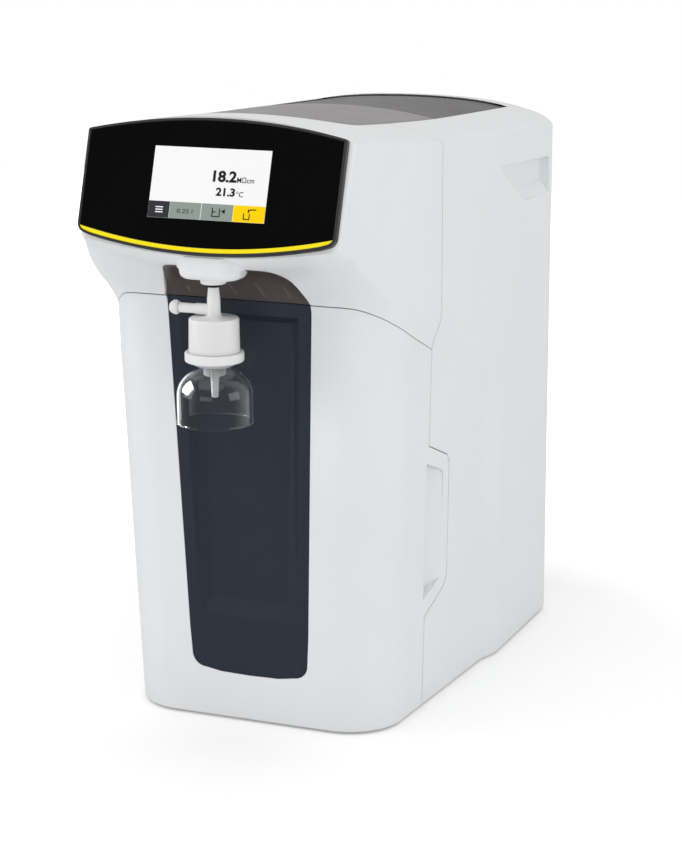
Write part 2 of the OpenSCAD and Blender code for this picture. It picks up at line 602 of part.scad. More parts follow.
module filter_body() color([0.93, 0.94, 0.95]) difference() {
    union() {
        at_outlet(0) rotate_extrude($fn = 96) polygon([[0, flange_z], [filter_d / 2, flange_z],
            [filter_d / 2, filter_top_z - 3], [filter_d / 2 - 0.6, filter_top_z - 1],
            [filter_d / 2 - 3, filter_top_z], [6.4, filter_top_z + 0.6], [5.2, filter_top_z + 2], [5.1, filter_top_z + 12],
            [inlet_d / 2, inlet_top_z - 11], [inlet_d / 2, inlet_top_z - 2], [0, inlet_top_z - 2]]);
        along_vent() cylinder(vent_l, d = vent_d, $fn = 32);
        along_vent() translate([0, 0, 4]) cylinder(10, d = 8.6, $fn = 32);
    }
    at_outlet(0) rotate_extrude($fn = 96) polygon([[0, flange_z - 1], [filter_d / 2 - 2, flange_z - 1],
        [filter_d / 2 - 2, filter_top_z - 3], [2, filter_top_z - 2], [2, inlet_top_z], [0, inlet_top_z]]);
    along_vent() cylinder(vent_l + 1, d = 2.4, $fn = 24);
}
module filter_membrane() color([0.96, 0.96, 0.97]) at_outlet(flange_z - 1) difference() {
    union() {
        cylinder(filter_h - 5, d = filter_d - 4 - 2 * near - 3, $fn = 64);
        for (i = [0:17]) rotate(i * 20) translate([filter_d / 2 - 4.2, -0.6, 0]) cube([1.8, 1.2, filter_h - 5]);
    }
    translate([0, 0, 2]) cylinder(filter_h, d = 12, $fn = 48);
}
module filter_base() color([0.93, 0.94, 0.95]) at_outlet(0) difference() {
    union() {
        rotate_extrude($fn = 96) polygon([[0, outlet_low_z], [2.8, outlet_low_z], [3.3, collar_z - collar_h - 4],
            [4.4, collar_z - collar_h], [collar_d / 2 - 1, collar_z - collar_h], [collar_d / 2, collar_z - collar_h + 1],
            [collar_d / 2, collar_z], [15, collar_z], [flange_d / 2 - 1, flange_z - flange_h],
            [flange_d / 2, flange_z - flange_h + 1], [flange_d / 2, flange_z - 1.2],
            [flange_d / 2 - 1, flange_z - near], [0, flange_z - near]]);
        for (i = [0:17]) rotate(i * 20) translate([collar_d / 2 - 0.5, -0.6, collar_z - collar_h + 1])
            cube([1, 1.2, collar_h - 3]);
    }
    translate([0, 0, outlet_low_z - 1]) cylinder(60, d = 3, $fn = 32);
    translate([0, 0, flange_z - 2]) cylinder(4, d = filter_d - 4, $fn = 64);
}
cap_d = 10.9;
module vent_cap() color([0.95, 0.95, 0.96]) along_vent() translate([0, 0, vent_l - 6]) difference() {
    union() {
        rotate_extrude($fn = 48) polygon([[0, 0], [4.2, 0], [4.6, 1.5], [4.6, 3], [cap_d / 2, 4.4], [cap_d / 2, 9],
            [cap_d / 2 - 0.8, 11], [cap_d / 2 - 2.6, 12.2], [0, 12.6]]);
        for (i = [0:7]) rotate(i * 45) translate([cap_d / 2 - 0.4, -0.8, 4.6]) cube([0.9, 1.6, 4.2]);
    }
    translate([0, 0, -1]) cylinder(7 + near, d = vent_d + 2 * fit, $fn = 48);
}
bell_dome = 23;
function dome(r, h, z) = [for (a = [0:6:72]) [r * cos(a), z + h * sin(a) / sin(72)]];
module bell() color([0.85, 0.92, 0.95, 0.35]) at_outlet(bell_top_z - bell_h) rotate_extrude($fn = 96)
    polygon(concat([[bell_d / 2 - bell_wall, 0], [bell_d / 2 + bell_rim, 0],
        [bell_d / 2 + bell_rim, 0.8], [bell_d / 2, 1.2]],
        dome(bell_d / 2, bell_dome, bell_h - bell_dome), [[collar_d / 2 + 0.5 + fit, bell_h]],
        [[collar_d / 2 + 0.5 + fit, bell_h - bell_wall]],
        [for (i = [12:-1:0]) let (p = dome(bell_d / 2 - bell_wall, bell_dome - bell_wall, bell_h - bell_dome)[i]) p]));

// ---- base and frame -----------------------------------------------------------------------
base_gap = 0.8;       // gap between the base plate and the shells
module base_plate() color([0.75, 0.76, 0.78]) linear_extrude(base_t) intersection() {
    polygon(lower_outline(base_t, wall + base_gap, body_d));
    polygon(wide_outline(wall + base_gap));
}
module feet() color([0.12, 0.12, 0.12]) for (x = [-1, 1], y = [62, body_d - 50])
    translate([x * 84, y, -foot_h]) difference() {
        cylinder(foot_h, d = foot_d, $fn = 48);
        translate([0, 0, -1]) cylinder(2, d = 6, $fn = 32);
    }
wall_y = 152;
frame_t = 2;
shelf_z = 350;
chassis_h = 400;
function niche_half(z) = lerp(niche_foot_w, niche_head_w, (z - niche_z) / (head_seam_z - niche_z)) / 2;
rib_in = 3;           // the ribs behind the niche panel stand this far inside its edges
function rib_foot(z) = let (x = niche_half(z) - rib_in, y = front_at(z) + wall + near)
    [[x, y], [x, wall_y], [x - frame_t, wall_y], [x - frame_t, y]];
module chassis() color([0.72, 0.73, 0.75]) union() {
    translate([-112, wall_y, floor_z]) cube([224, frame_t, chassis_h]);
    for (side = [0, 1]) mirror([side, 0, 0])
        draft_prism(rib_foot(floor_z), floor_z, rib_foot(shelf_z + 1), shelf_z + 1);
    translate([0, 0, shelf_z]) linear_extrude(frame_t)
        polygon(mirrored([[84, 6], [100, 28], [106, 60], [110, wall_y + 1]]));
}

// ---- cartridges ---------------------------------------------------------------------------
cartridge_x = 90;
cartridge_y = 70;
dock_z = 300;
neck_h = 24;
dock_d = 40;
module cartridge_dock() color([0.30, 0.32, 0.35]) for (x = [-1, 1])
    translate([x * cartridge_x, cartridge_y, dock_z]) difference() {
        union() {
            cylinder(34, d = dock_d, $fn = 64);
            translate([-14, 0, 6]) cube([28, wall_y - cartridge_y - near, 22]);
        }
        translate([0, 0, -1]) cylinder(neck_h + 3, d = neck_d + 2 * fit, $fn = 64);
    }
module cartridge(x) translate([x * cartridge_x, cartridge_y, 0]) union() {
    rotate_extrude($fn = 80) polygon([[0, dock_z - cartridge_h - 4], [cartridge_d / 2 - 4, dock_z - cartridge_h - 4],
        [cartridge_d / 2, dock_z - cartridge_h], [cartridge_d / 2, dock_z - 16], [cartridge_d / 2 - 5, dock_z - 6],
        [neck_d / 2, dock_z - 4], [neck_d / 2, dock_z + neck_h - 2], [neck_d / 2 - 2, dock_z + neck_h],
        [0, dock_z + neck_h]]);
    for (i = [0:11]) rotate(i * 30) translate([cartridge_d / 2 - 0.5, -1, dock_z - 44]) cube([1.3, 2, 26]);
}
module polishing_cartridge() color([0.90, 0.91, 0.93]) cartridge(1);
module pretreatment_cartridge() color([0.35, 0.45, 0.60]) cartridge(-1);

// ---- rear compartment ---------------------------------------------------------------------
floor_z = base_t + near;
panel_y = body_d - port_bay_d;
motor_d = 50;
pump_y = panel_y - 62;
pump_x = -60;
pump_z = floor_z + 34;
tank_y = wall_y + frame_t + 6;
tank_w = 190;
tank_d = pump_y - motor_d / 2 - 25 - tank_y;
tank_h = 190;
module tank_outline(t) offset(r = 18) offset(delta = -18 - t) square([tank_w, tank_d], center = true);
module at_tank(x, z) translate([x, tank_y + tank_d / 2, z]) children();
module storage_tank() color([0.88, 0.90, 0.90]) at_tank(0, floor_z) difference() {
    union() {
        linear_extrude(tank_h) tank_outline(0);
        translate([50, 0, tank_h - 1]) cylinder(13, d = 44, $fn = 64);
    }
    translate([0, 0, 3]) linear_extrude(tank_h - 6) tank_outline(3);
    translate([50, 0, tank_h - 10]) cylinder(40, d = 38, $fn = 64);
}
module tank_cap() color([0.25, 0.27, 0.30]) at_tank(50, floor_z + tank_h + 12 + near)
    difference() {
        union() {
            cylinder(10, d = 52, $fn = 64);
            translate([0, 0, -8]) cylinder(9, d = 37.4, $fn = 64);
            for (i = [0:15]) rotate(i * 22.5) translate([25.5, -1.5, 0]) cube([1.6, 3, 10]);
        }
        translate([0, 0, -9]) cylinder(30, d = 8, $fn = 32);
    }
module pump_motor() color([0.20, 0.21, 0.23]) translate([pump_x, pump_y, floor_z]) union() {
    translate([-38, 1 - motor_d / 2, 0]) cube([58, motor_d - 2, 6]);
    translate([-40, 0, pump_z - floor_z]) rotate([0, 90, 0]) cylinder(64, d = motor_d, $fn = 64);
    translate([-20, -12, 4]) cube([40, 24, 20]);
}
pump_d = motor_d + 8;
module pump_head() color([0.80, 0.80, 0.82]) translate([pump_x + 24 + near, pump_y, pump_z]) rotate([0, 90, 0])
    union() {
        cylinder(30, d = pump_d, $fn = 64);
        for (s = [-1, 1]) translate([s * 16, 0, 15]) rotate([-90, 0, 0]) cylinder(38, d = 9, $fn = 32);
        for (i = [0:3]) rotate(45 + i * 90) translate([pump_d / 2 - 7, 0, 29]) cylinder(4, d = 7, $fn = 24);
    }
uv_d = 50;
uv_l = 190;
uv_y = panel_y - 52;
uv_z = port_bay_z + port_bay_h + 50;      // above the port bay
module along_uv(x) translate([x, uv_y, uv_z]) rotate([0, 90, 0]) children();
module uv_reactor() color([0.78, 0.79, 0.80]) union() {
    along_uv(-uv_l / 2) cylinder(uv_l, d = uv_d, $fn = 64);
    along_uv(-uv_l / 2 - 12) cylinder(uv_l + 24, d = uv_d - 10, $fn = 64);
    for (x = [-1, 1]) translate([x * (uv_l / 2 - 18), uv_y, uv_z]) cylinder(38, d = 9, $fn = 32);
}
clip_w = 14;
clip_t = 4;
module uv_clips() color([0.30, 0.32, 0.34]) for (x = [-52, 38]) difference() {
    union() {
        along_uv(x) cylinder(clip_w, d = uv_d + 2 * clip_t, $fn = 64);
        translate([x, uv_y, uv_z - 8]) cube([clip_w, body_d - wall - near - uv_y, 16]);
    }
    along_uv(x - 1) cylinder(clip_w + 2, d = uv_d + 2 * near, $fn = 64);
}
module solenoid_valve() color([0.25, 0.26, 0.30]) translate([0, pump_y, floor_z]) for (i = [0, 1])
    translate([18 + i * 36, 0, 0]) union() {
        translate([-12, -14, 0]) cube([24, 28, 20]);
        translate([0, 0, 18]) cylinder(28, d = 20, $fn = 48);
        translate([0, 13, 10]) rotate([-90, 0, 0]) cylinder(12, d = 8, $fn = 24);
    }
cell_z = shelf_z - 35;
module conductivity_cell() color([0.82, 0.83, 0.85]) translate([0, wall_y - near, cell_z]) rotate([90, 0, 0])
    union() {
        cylinder(6, d = 30, $fn = 48);
        translate([0, 0, 5]) cylinder(30, d = 16, $fn = 48);
        translate([0, 0, 34]) cylinder(6, d = 9, $fn = 32);
    }
module control_board() color([0.10, 0.35, 0.20]) translate([-80, wall_y + frame_t + near, 230]) union() {
    translate([0, 8, 0]) cube([160, 1.6, 150]);
    for (x = [8, 152], z = [8, 142]) translate([x, 9, z]) rotate([90, 0, 0]) cylinder(9, d = 7, $fn = 24);
    for (p = [[20, 20, 34, 30], [70, 30, 22, 22], [110, 20, 30, 14], [24, 90, 40, 12], [100, 80, 26, 40]])
        translate([p[0], 9, p[1]]) cube([p[2], 9, p[3]]);
}
supply_w = 60;
supply_d = 103;
supply_x = half_w - wall - 22.2;          // its outer side, beside the carrying grip
supply_y = body_d - wall - near - supply_d;
supply_z = uv_z + 45;                     // above the reactor's ports
supply_gap = 24.4;                        // between its top and the roof
supply_h = roof(supply_x, body_d) - wall - supply_gap - supply_z;
module power_supply() color([0.70, 0.71, 0.73]) translate([-supply_x, supply_y, supply_z]) difference() {
    cube([supply_w, supply_d, supply_h]);
    for (z = [16:17:supply_h - 20]) translate([-1, 19, z]) cube([4, supply_d - 38, 6]);
}

// ---- rear connections ---------------------------------------------------------------------
module rear_panel() color([0.80, 0.81, 0.83]) difference() {
    translate([-port_bay_w / 2 + near, panel_y - 3, port_bay_z + near])
        cube([port_bay_w - 2 * near, 3, port_bay_h - 2 * near]);
    translate([inlet_x - 14, panel_y - 10, inlet_z - 10]) cube([28, 20, 20]);
    translate([switch_x - 7, panel_y - 10, inlet_z - 11]) cube([14, 20, 22]);
    for (z = fitting_zs) translate([fitting_x, panel_y - 10, z]) rotate([-90, 0, 0])
        cylinder(20, d = 14 + 2 * near, $fn = 48);
    translate([usb_x - 7, panel_y - 10, usb_z - 3.5]) cube([14, 20, 7]);
    for (x = [-1, 1], z = [10, port_bay_h - 10]) translate([x * (port_bay_w / 2 - 10), panel_y - 10, port_bay_z + z])
        rotate([-90, 0, 0]) cylinder(20, d = 3.4, $fn = 32);
}
inlet_x = 50;
inlet_z = 90;
switch_x = 10;
fitting_x = -60;
fitting_zs = [80, 120];
usb_x = 50;
usb_z = 200;
module power_inlet() color([0.08, 0.08, 0.09]) translate([inlet_x, panel_y, inlet_z]) difference() {
    union() {
        translate([-15.5, near, -12]) cube([31, 2.5, 24]);
        translate([-13.7, -22, -9.7]) cube([27.4, 23, 19.4]);
    }
    translate([-12, -15, -8]) cube([24, 30, 16]);
}
module rocker_frame() color([0.08, 0.08, 0.09]) translate([switch_x, panel_y, inlet_z]) difference() {
    union() {
        translate([-9.5, near, -13.5]) cube([19, 2, 27]);
        translate([-6.7, -14, -10.7]) cube([13.4, 15, 21.4]);
    }
    translate([-5.2, -12, -9.4]) cube([10.4, 30, 18.8]);
}
module rocker() color([0.12, 0.12, 0.13]) translate([switch_x - 4.9, panel_y - 1, inlet_z]) rotate([90, 0, 90])
    linear_extrude(9.8) polygon([[-4, -3], [-4, 3], [0, 7.8], [4.4, 8], [2.6, 0], [2.2, -8], [-1, -7.8]]);
module water_fittings() color([0.10, 0.10, 0.12]) for (z = fitting_zs)
    translate([fitting_x, panel_y, z]) rotate([-90, 0, 0]) difference() {
        union() {
            translate([0, 0, near]) cylinder(9, d = 18, $fn = 6);
            translate([0, 0, -18]) cylinder(19, d = 14, $fn = 48);
            translate([0, 0, -8]) cylinder(8 - 3 - near, d = 18, $fn = 48);
        }
        translate([0, 0, -4]) cylinder(20, d = 11 + 2 * fit, $fn = 48);
        translate([0, 0, -12]) cylinder(20, d = 6.4, $fn = 48);
    }
module collet(z) translate([fitting_x, panel_y, z]) rotate([-90, 0, 0]) difference() {
    union() {
        translate([0, 0, -2]) cylinder(13, d = 11, $fn = 48);
        translate([0, 0, 9.3 + 1.6]) cylinder(1.8, d = 13.4, $fn = 48);
    }
    translate([0, 0, -3]) cylinder(20, d = 6.4, $fn = 48);
}
module feed_collet() color([0.15, 0.35, 0.75]) collet(fitting_zs[1]);
module drain_collet() color([0.75, 0.75, 0.77]) collet(fitting_zs[0]);
module usb_port() color([0.75, 0.76, 0.78]) translate([usb_x, panel_y, usb_z]) difference() {
    translate([-6.6, -14, -3.1]) cube([13.2, 14.6, 6.2]);
    translate([-6, -8, -2.5]) cube([12, 12, 5]);
}
module panel_screws() color([0.65, 0.66, 0.68]) for (x = [-1, 1], z = [10, port_bay_h - 10])
    translate([x * (port_bay_w / 2 - 10), panel_y, port_bay_z + z]) rotate([-90, 0, 0]) difference() {
        union() {
            translate([0, 0, near]) cylinder(2, d = 6, $fn = 32);
            translate([0, 0, -6]) cylinder(7, d = 3, $fn = 32);
        }
        translate([0, 0, 1.4]) cylinder(2, d = 3, $fn = 6);
    }

// ---- roof inset ---------------------------------------------------------------------------
inset_t = 3;
lid_drop = 0.4;
function joint_x() = lookup(inset_joint_y, [for (p = inset_sides(near)) [p[1], p[0]]]);
module top_lid() color(taupe) roof_slab(concat([for (p = inset_half(near)) if (p[1] < inset_joint_y) p],
    [for (x = [joint_x(), 0]) [x, inset_joint_y - near]]), lid_drop, lid_drop + inset_t);
module top_tray() color(taupe_dark) roof_slab(concat([for (x = [0, joint_x()]) [x, inset_joint_y]],
    [for (p = inset_half(near)) if (p[1] > inset_joint_y) p]), inset_t, 2 * inset_t);

place() rear_housing();
place() head_cover();
place() front_cover();
place() niche_panel();
place() recess_liner();
place() top_lid();
place() top_tray();
place() display_housing();
place() display_glass();
place() touch_screen();
place() light_strip();
place() dispense_head();
place() nozzle();
place() nozzle_seal();
place() filter_body();
place() filter_base();
place() filter_membrane();
place() vent_cap();
place() bell();
place() base_plate();
place() feet();
place() chassis();
place() cartridge_dock();
place() polishing_cartridge();
place() pretreatment_cartridge();
place() storage_tank();
place() tank_cap();
place() pump_head();
place() pump_motor();
place() uv_reactor();
place() uv_clips();
place() solenoid_valve();
place() conductivity_cell();
place() control_board();
place() power_supply();
place() rear_panel();
place() power_inlet();
place() rocker_frame();
place() rocker();
place() water_fittings();
place() feed_collet();
place() drain_collet();
place() usb_port();
place() panel_screws();
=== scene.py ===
import json
import math

import bmesh
import bpy
from mathutils import Matrix, Vector

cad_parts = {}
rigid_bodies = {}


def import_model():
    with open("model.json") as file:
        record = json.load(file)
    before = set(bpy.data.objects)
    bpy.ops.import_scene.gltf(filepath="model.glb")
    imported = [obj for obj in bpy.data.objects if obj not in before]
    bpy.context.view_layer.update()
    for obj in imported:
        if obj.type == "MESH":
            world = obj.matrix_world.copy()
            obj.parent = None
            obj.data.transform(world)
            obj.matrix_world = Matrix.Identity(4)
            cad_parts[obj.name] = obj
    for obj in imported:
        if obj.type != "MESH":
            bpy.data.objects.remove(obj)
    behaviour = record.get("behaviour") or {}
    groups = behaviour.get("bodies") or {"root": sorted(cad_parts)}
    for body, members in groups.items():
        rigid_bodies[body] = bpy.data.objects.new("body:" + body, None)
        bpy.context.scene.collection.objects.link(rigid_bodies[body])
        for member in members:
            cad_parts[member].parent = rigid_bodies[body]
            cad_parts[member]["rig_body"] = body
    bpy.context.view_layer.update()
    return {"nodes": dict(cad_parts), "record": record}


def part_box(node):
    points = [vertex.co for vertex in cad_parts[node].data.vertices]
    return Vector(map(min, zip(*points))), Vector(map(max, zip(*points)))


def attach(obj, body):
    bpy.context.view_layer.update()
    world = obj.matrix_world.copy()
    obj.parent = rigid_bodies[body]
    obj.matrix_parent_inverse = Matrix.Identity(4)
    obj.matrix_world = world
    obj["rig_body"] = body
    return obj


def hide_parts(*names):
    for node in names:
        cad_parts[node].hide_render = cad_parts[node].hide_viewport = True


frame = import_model()
nodes = frame["nodes"]
mm = 0.001
print("frame loaded:", len(nodes), "nodes")

# ---- the machine's own space ----
# Millimetres, with Y = 0 at the foot of the front cover and Z = 0 at the shells' lower edge
body = dict(width=274.4, depth=406.0, crown=515.0, roofFall=0.0525, roofArch=438.0, roofSquare=0.63,
            footHalf=121.7, draft=0.0229, frontLean=0.0417, frontCorner=47.0, rearCorner=20.0,
            wall=3.0, seam=0.32, near=0.25, seamDepth=89.0, headSeam=367.0, sideSeam=315.0,
            seamSlope=0.46, band=31.0, bandTurn=216.0, flankHalf=130.0,
            neck=357.0, headFloor=401.0, neckTurn=math.radians(30), cornerLift=12.4,
            taperDepth=30.0, taperShare=0.97, sideEase=1.8, cornerEase=0.7, leanFade=50.0,
            roundFrom=-34.0, roundOver=22.0, rimCorner=8.0, footRound=2.0, roofRound=3.0, roofCentre=170.0)
display = dict(lean=math.radians(18.1), y=-67.0, z=467.0, width=222.6, footWidth=222.4, height=83.2,
               up=40.2, arch=12.2, bow=13.3, thick=5.5, screenWidth=100.7, screenHeight=57.0,
               glass=2.0, rim=2.2, strip=3.5, stripRim=2.1, corner=8.0, topCorner=2.2, lip=15.3)
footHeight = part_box("base_plate")[0].z / mm
middle = body["depth"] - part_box("rear_housing")[1].y / mm   # depth of the frame's origin
halfWidth = body["width"] / 2
leanSlope = math.tan(display["lean"])


def at(x, y, z):
    return Vector((x, y - middle, z + footHeight)) * mm


def mix(a, b, t):
    return a + (b - a) * t


def clamp(t):
    return min(1.0, max(0.0, t))


def soft(t):
    t = clamp(t)
    return t * t * (3 - 2 * t)


def node(tree, kind, settings=None, **values):
    # a shader node; an input's name has _ for each space
    made = tree.nodes.new("ShaderNode" + kind)
    for key, value in (settings or {}).items():
        setattr(made, key, value)
    for key, value in values.items():
        made.inputs[key.replace("_", " ")].default_value = value
    return made


def maths(tree, operation, kind="Math"):
    return node(tree, kind, {"operation": operation})


def wire(tree, *links):
    # each link: from a node, its output, to a node, its input
    for start, output, end, slot in links:
        tree.links.new(start.outputs[output], end.inputs[slot])


def link(item):
    bpy.context.scene.collection.objects.link(item)
    return item


# ---- camera, stage and light ----
camera = dict(position=(791.41, -1727.01, 718.80), azimuth=22.30, elevation=13.63, roll=-0.13,
              focalPixels=2365.846, longSide=850, sensor=36.0, nearest=0.05)


def makeCamera():
    data = bpy.data.cameras.new("photoCamera")
    item = link(bpy.data.objects.new("photoCamera", data))
    turn, rise, roll = (math.radians(camera[k]) for k in ("azimuth", "elevation", "roll"))
    back = Vector((math.sin(turn) * math.cos(rise), -math.cos(turn) * math.cos(rise), math.sin(rise)))
    right = Vector((math.cos(turn), math.sin(turn), 0))
    up = back.cross(right)
    right, up = (right * math.cos(roll) + up * math.sin(roll), up * math.cos(roll) - right * math.sin(roll))
    turned = Matrix((right, up, back)).transposed().to_4x4()
    item.matrix_world = Matrix.Translation(at(*camera["position"])) @ turned
    data.sensor_width = camera["sensor"]
    data.lens = camera["focalPixels"] / camera["longSide"] * camera["sensor"]
    data.clip_start = camera["nearest"]
    bpy.context.scene.camera = item


makeCamera()

# Soft boxes: place in metres round the machine, size, watts, where they aim, seen in gloss or not
lights = dict(
    overhead=dict(place=(0.0, -0.5, 2.3), size=(2.6, 2.6), power=12.5, aim=(0, 0, 0.2)),
    leftBox=dict(place=(-2.1, -1.0, 0.9), size=(1.5, 1.7), power=11, aim=(0, 0, 0.25)),
    rightBox=dict(place=(2.3, -0.3, 0.7), size=(1.5, 1.3), power=7.5, aim=(0, 0, 0.25)),
    frontBox=dict(place=(-0.2, -2.6, 0.5), size=(1.6, 0.9), power=6, aim=(0, 0, 0.2), mirrored=False),
)
# The room's brightness: as seen, as light, and from front to back in gloss and through glass
surround = dict(seen=1.0, lit=0.69, mirrored=(0.05, 0.7), through=(0.15, 1.0), turnFrom=-0.1, turnTo=0.7)
# A box that shines on the bell alone, for the window mirrored in it
bellLights = dict(
    windowBox=dict(place=(-1.83, -0.51, 1.05), size=(1.3, 1.2), power=80, aim=(0, -0.218, 0.30)),
)


def makeLight(name, place, size, power, aim, mirrored=True):
    data = bpy.data.lights.new(name, "AREA")
    data.shape = "RECTANGLE"
    data.size, data.size_y = size
    data.energy = power
    item = link(bpy.data.objects.new(name, data))
    item.location = place
    item.rotation_euler = (Vector(aim) - Vector(place)).to_track_quat("-Z", "Y").to_euler()
    item.visible_camera = False
    item.visible_glossy = mirrored
    return item


def makeWorld():
    world = bpy.data.worlds.new("studio")
    bpy.context.scene.world = world
    world.use_nodes = True
    tree = world.node_tree
    background, path = tree.nodes["Background"], node(tree, "LightPath")
    way, parts = node(tree, "TexCoord"), node(tree, "SeparateXYZ")
    wire(tree, (way, "Generated", parts, "Vector"))

    def blend(start, end, amount):
        made = node(tree, "MapRange")
        for label, value in (("To Min", start), ("To Max", end), ("Value", amount)):
            if hasattr(value, "links"):
                tree.links.new(value, made.inputs[label])
            else:
                made.inputs[label].default_value = value
        return made.outputs["Result"]

    # gloss and glass see a dark room in front and a bright one behind
    room = blend(0.0, 1.0, parts.outputs["Y"])
    room.node.inputs["From Min"].default_value = surround["turnFrom"]
    room.node.inputs["From Max"].default_value = surround["turnTo"]
    strength = surround["lit"]
    for key, ray in (("mirrored", "Is Glossy Ray"), ("through", "Is Transmission Ray")):
        strength = blend(strength, blend(*surround[key], room), path.outputs[ray])
    strength = blend(strength, surround["seen"], path.outputs["Is Camera Ray"])
    tree.links.new(strength, background.inputs["Strength"])
    background.inputs["Color"].default_value = (1, 1, 1, 1)


makeWorld()
for lightName, values in lights.items():
    makeLight(lightName, **values)
bpy.context.scene.view_settings.view_transform = "Standard"
print("camera and light ready")


# ---- shader groups ----
def newGroup(name, inputs, outputs):
    group = bpy.data.node_groups.new(name, "ShaderNodeTree")
    for label, kind, value in inputs:
        socket = group.interface.new_socket(label, in_out="INPUT", socket_type=kind)
        if value is not None:
            socket.default_value = value
    for label, kind in outputs:
        group.interface.new_socket(label, in_out="OUTPUT", socket_type=kind)
    return group, group.nodes.new("NodeGroupInput"), group.nodes.new("NodeGroupOutput")


floatSocket = "NodeSocketFloat"
colourSocket = "NodeSocketColor"


def makeMoulded():
    # fine eroded texture of a mould, with a slow drift of tone and gloss
    group, given, result = newGroup("mouldedSurface", [
        ("Color", colourSocket, (0.8, 0.8, 0.8, 1)), ("Drift", floatSocket, 0.02),
        ("Roughness", floatSocket, 0.4), ("Gloss Drift", floatSocket, 0.06), ("Grain", floatSocket, 2600.0)],
        [("Color", colourSocket), ("Roughness", floatSocket), ("Height", floatSocket)])
    place = node(group, "TexCoord")
    grain = node(group, "TexNoise", Detail=2.0, Roughness=0.6)
    slow = node(group, "TexNoise", Scale=9.0, Detail=4.0, Roughness=0.55)
    centred = node(group, "MapRange", From_Min=0.3, From_Max=0.7, To_Min=-1.0, To_Max=1.0)
    amount = maths(group, "MULTIPLY_ADD")
    amount.inputs[2].default_value = 1.0
    tinted = maths(group, "SCALE", "VectorMath")
    gloss = maths(group, "MULTIPLY_ADD")
    wire(group, (place, "Object", grain, "Vector"), (given, "Grain", grain, "Scale"),
         (place, "Object", slow, "Vector"), (slow, "Fac", centred, "Value"),
         (centred, "Result", amount, 0), (given, "Drift", amount, 1),
         (given, "Color", tinted, 0), (amount, 0, tinted, "Scale"),
         (centred, "Result", gloss, 0), (given, "Gloss Drift", gloss, 1), (given, "Roughness", gloss, 2),
         (tinted, "Vector", result, "Color"), (gloss, 0, result, "Roughness"),
         (grain, "Fac", result, "Height"))
    return group


def makeBrushed():
    # lines drawn along one axis of a rolled or turned metal
    group, given, result = newGroup("drawnMetal", [
        ("Color", colourSocket, (0.7, 0.7, 0.7, 1)), ("Roughness", floatSocket, 0.3),
        ("Stretch", "NodeSocketVector", None)],
        [("Color", colourSocket), ("Roughness", floatSocket), ("Height", floatSocket)])
    place = node(group, "TexCoord")
    scaled = maths(group, "MULTIPLY", "VectorMath")
    lines = node(group, "TexNoise", Scale=1.0, Detail=3.0, Roughness=0.7)
    shade = node(group, "MapRange", From_Min=0.3, From_Max=0.7, To_Min=0.9, To_Max=1.06)
    tinted = maths(group, "SCALE", "VectorMath")
    gloss = maths(group, "MULTIPLY_ADD")
    gloss.inputs[1].default_value = 0.16
    wire(group, (place, "Object", scaled, 0), (given, "Stretch", scaled, 1),
         (scaled, "Vector", lines, "Vector"), (lines, "Fac", shade, "Value"),
         (given, "Color", tinted, 0), (shade, "Result", tinted, "Scale"),
         (lines, "Fac", gloss, 0), (given, "Roughness", gloss, 2),
         (tinted, "Vector", result, "Color"), (gloss, 0, result, "Roughness"),
         (lines, "Fac", result, "Height"))
    return group


def makeEdge():
    # edges made lighter where the surface bulges: wear on the edges, and a painted highlight where they catch
    # light
    group, given, result = newGroup("edgeWear", [("Amount", floatSocket, 0.3), ("Start", floatSocket, 0.53)],
                                    [("Mask", floatSocket)])
    shape = node(group, "NewGeometry")
    ramp = node(group, "MapRange", From_Max=0.62)
    scaled = maths(group, "MULTIPLY")
    wire(group, (given, "Start", ramp, "From Min"), (shape, "Pointiness", ramp, "Value"),
         (ramp, "Result", scaled, 0), (given, "Amount", scaled, 1), (scaled, 0, result, "Mask"))
    return group


moulded = makeMoulded()
drawn = makeBrushed()
edgeWear = makeEdge()
print("shader groups ready")


# ---- materials ----
def newMaterial(name, group, color, **values):
    # a material whose colour and roughness come from a surface group
    material = bpy.data.materials.new(name)
    material.use_nodes = True
    tree = material.node_tree
    tree.nodes.clear()
    output, shader = node(tree, "OutputMaterial"), node(tree, "BsdfPrincipled")
    surface = node(tree, "Group", {"node_tree": group}, Color=(*color, 1), **values)
    wire(tree, (shader, "BSDF", output, "Surface"), (surface, "Color", shader, "Base Color"),
         (surface, "Roughness", shader, "Roughness"))
    return material, tree, shader, surface


def bumpFrom(tree, shader, surface, strength, distance, edge=0.0):
    bump = node(tree, "Bump", Strength=strength, Distance=distance)
    wire(tree, (surface, "Height", bump, "Height"), (bump, "Normal", shader, "Normal"))
    if edge:
        bevel = node(tree, "Bevel", {"samples": 4}, Radius=edge)
        wire(tree, (bevel, "Normal", bump, "Normal"))


def setPlain(shader, **values):
    for key, value in values.items():
        shader.inputs[key.replace("_", " ")].default_value = value


def plastic(name, color, roughness, drift=0.015, grain=2600.0, depth=0.03, edge=0.0005, wear=0.0,
            specular=0.5):
    material, tree, shader, surface = newMaterial(name, moulded, color, Drift=drift, Roughness=roughness,
                                                  Grain=grain, Gloss_Drift=0.04)
    # bulging edges mixed toward white: wear, and a painted highlight along the edges
    if wear:
        wearAndHighlightMask = node(tree, "Group", {"node_tree": edgeWear}, Amount=wear)
        blend = node(tree, "Mix", {"data_type": "RGBA"})
        blend.inputs["B"].default_value = (*[mix(c, 1.0, 0.35) for c in color], 1)
        wire(tree, (wearAndHighlightMask, "Mask", blend, "Factor"), (surface, "Color", blend, "A"),
             (blend, "Result", shader, "Base Color"))
    setPlain(shader, Specular_IOR_Level=specular)
    bumpFrom(tree, shader, surface, depth, 0.0003, edge)
    return material


def metal(name, color, roughness, stretch=(60, 60, 4000), edge=0.0004):
    material, tree, shader, surface = newMaterial(name, drawn, color, Roughness=roughness, Stretch=stretch)
    setPlain(shader, Metallic=1.0)
    bumpFrom(tree, shader, surface, 0.08, 0.0002, edge)
    return material


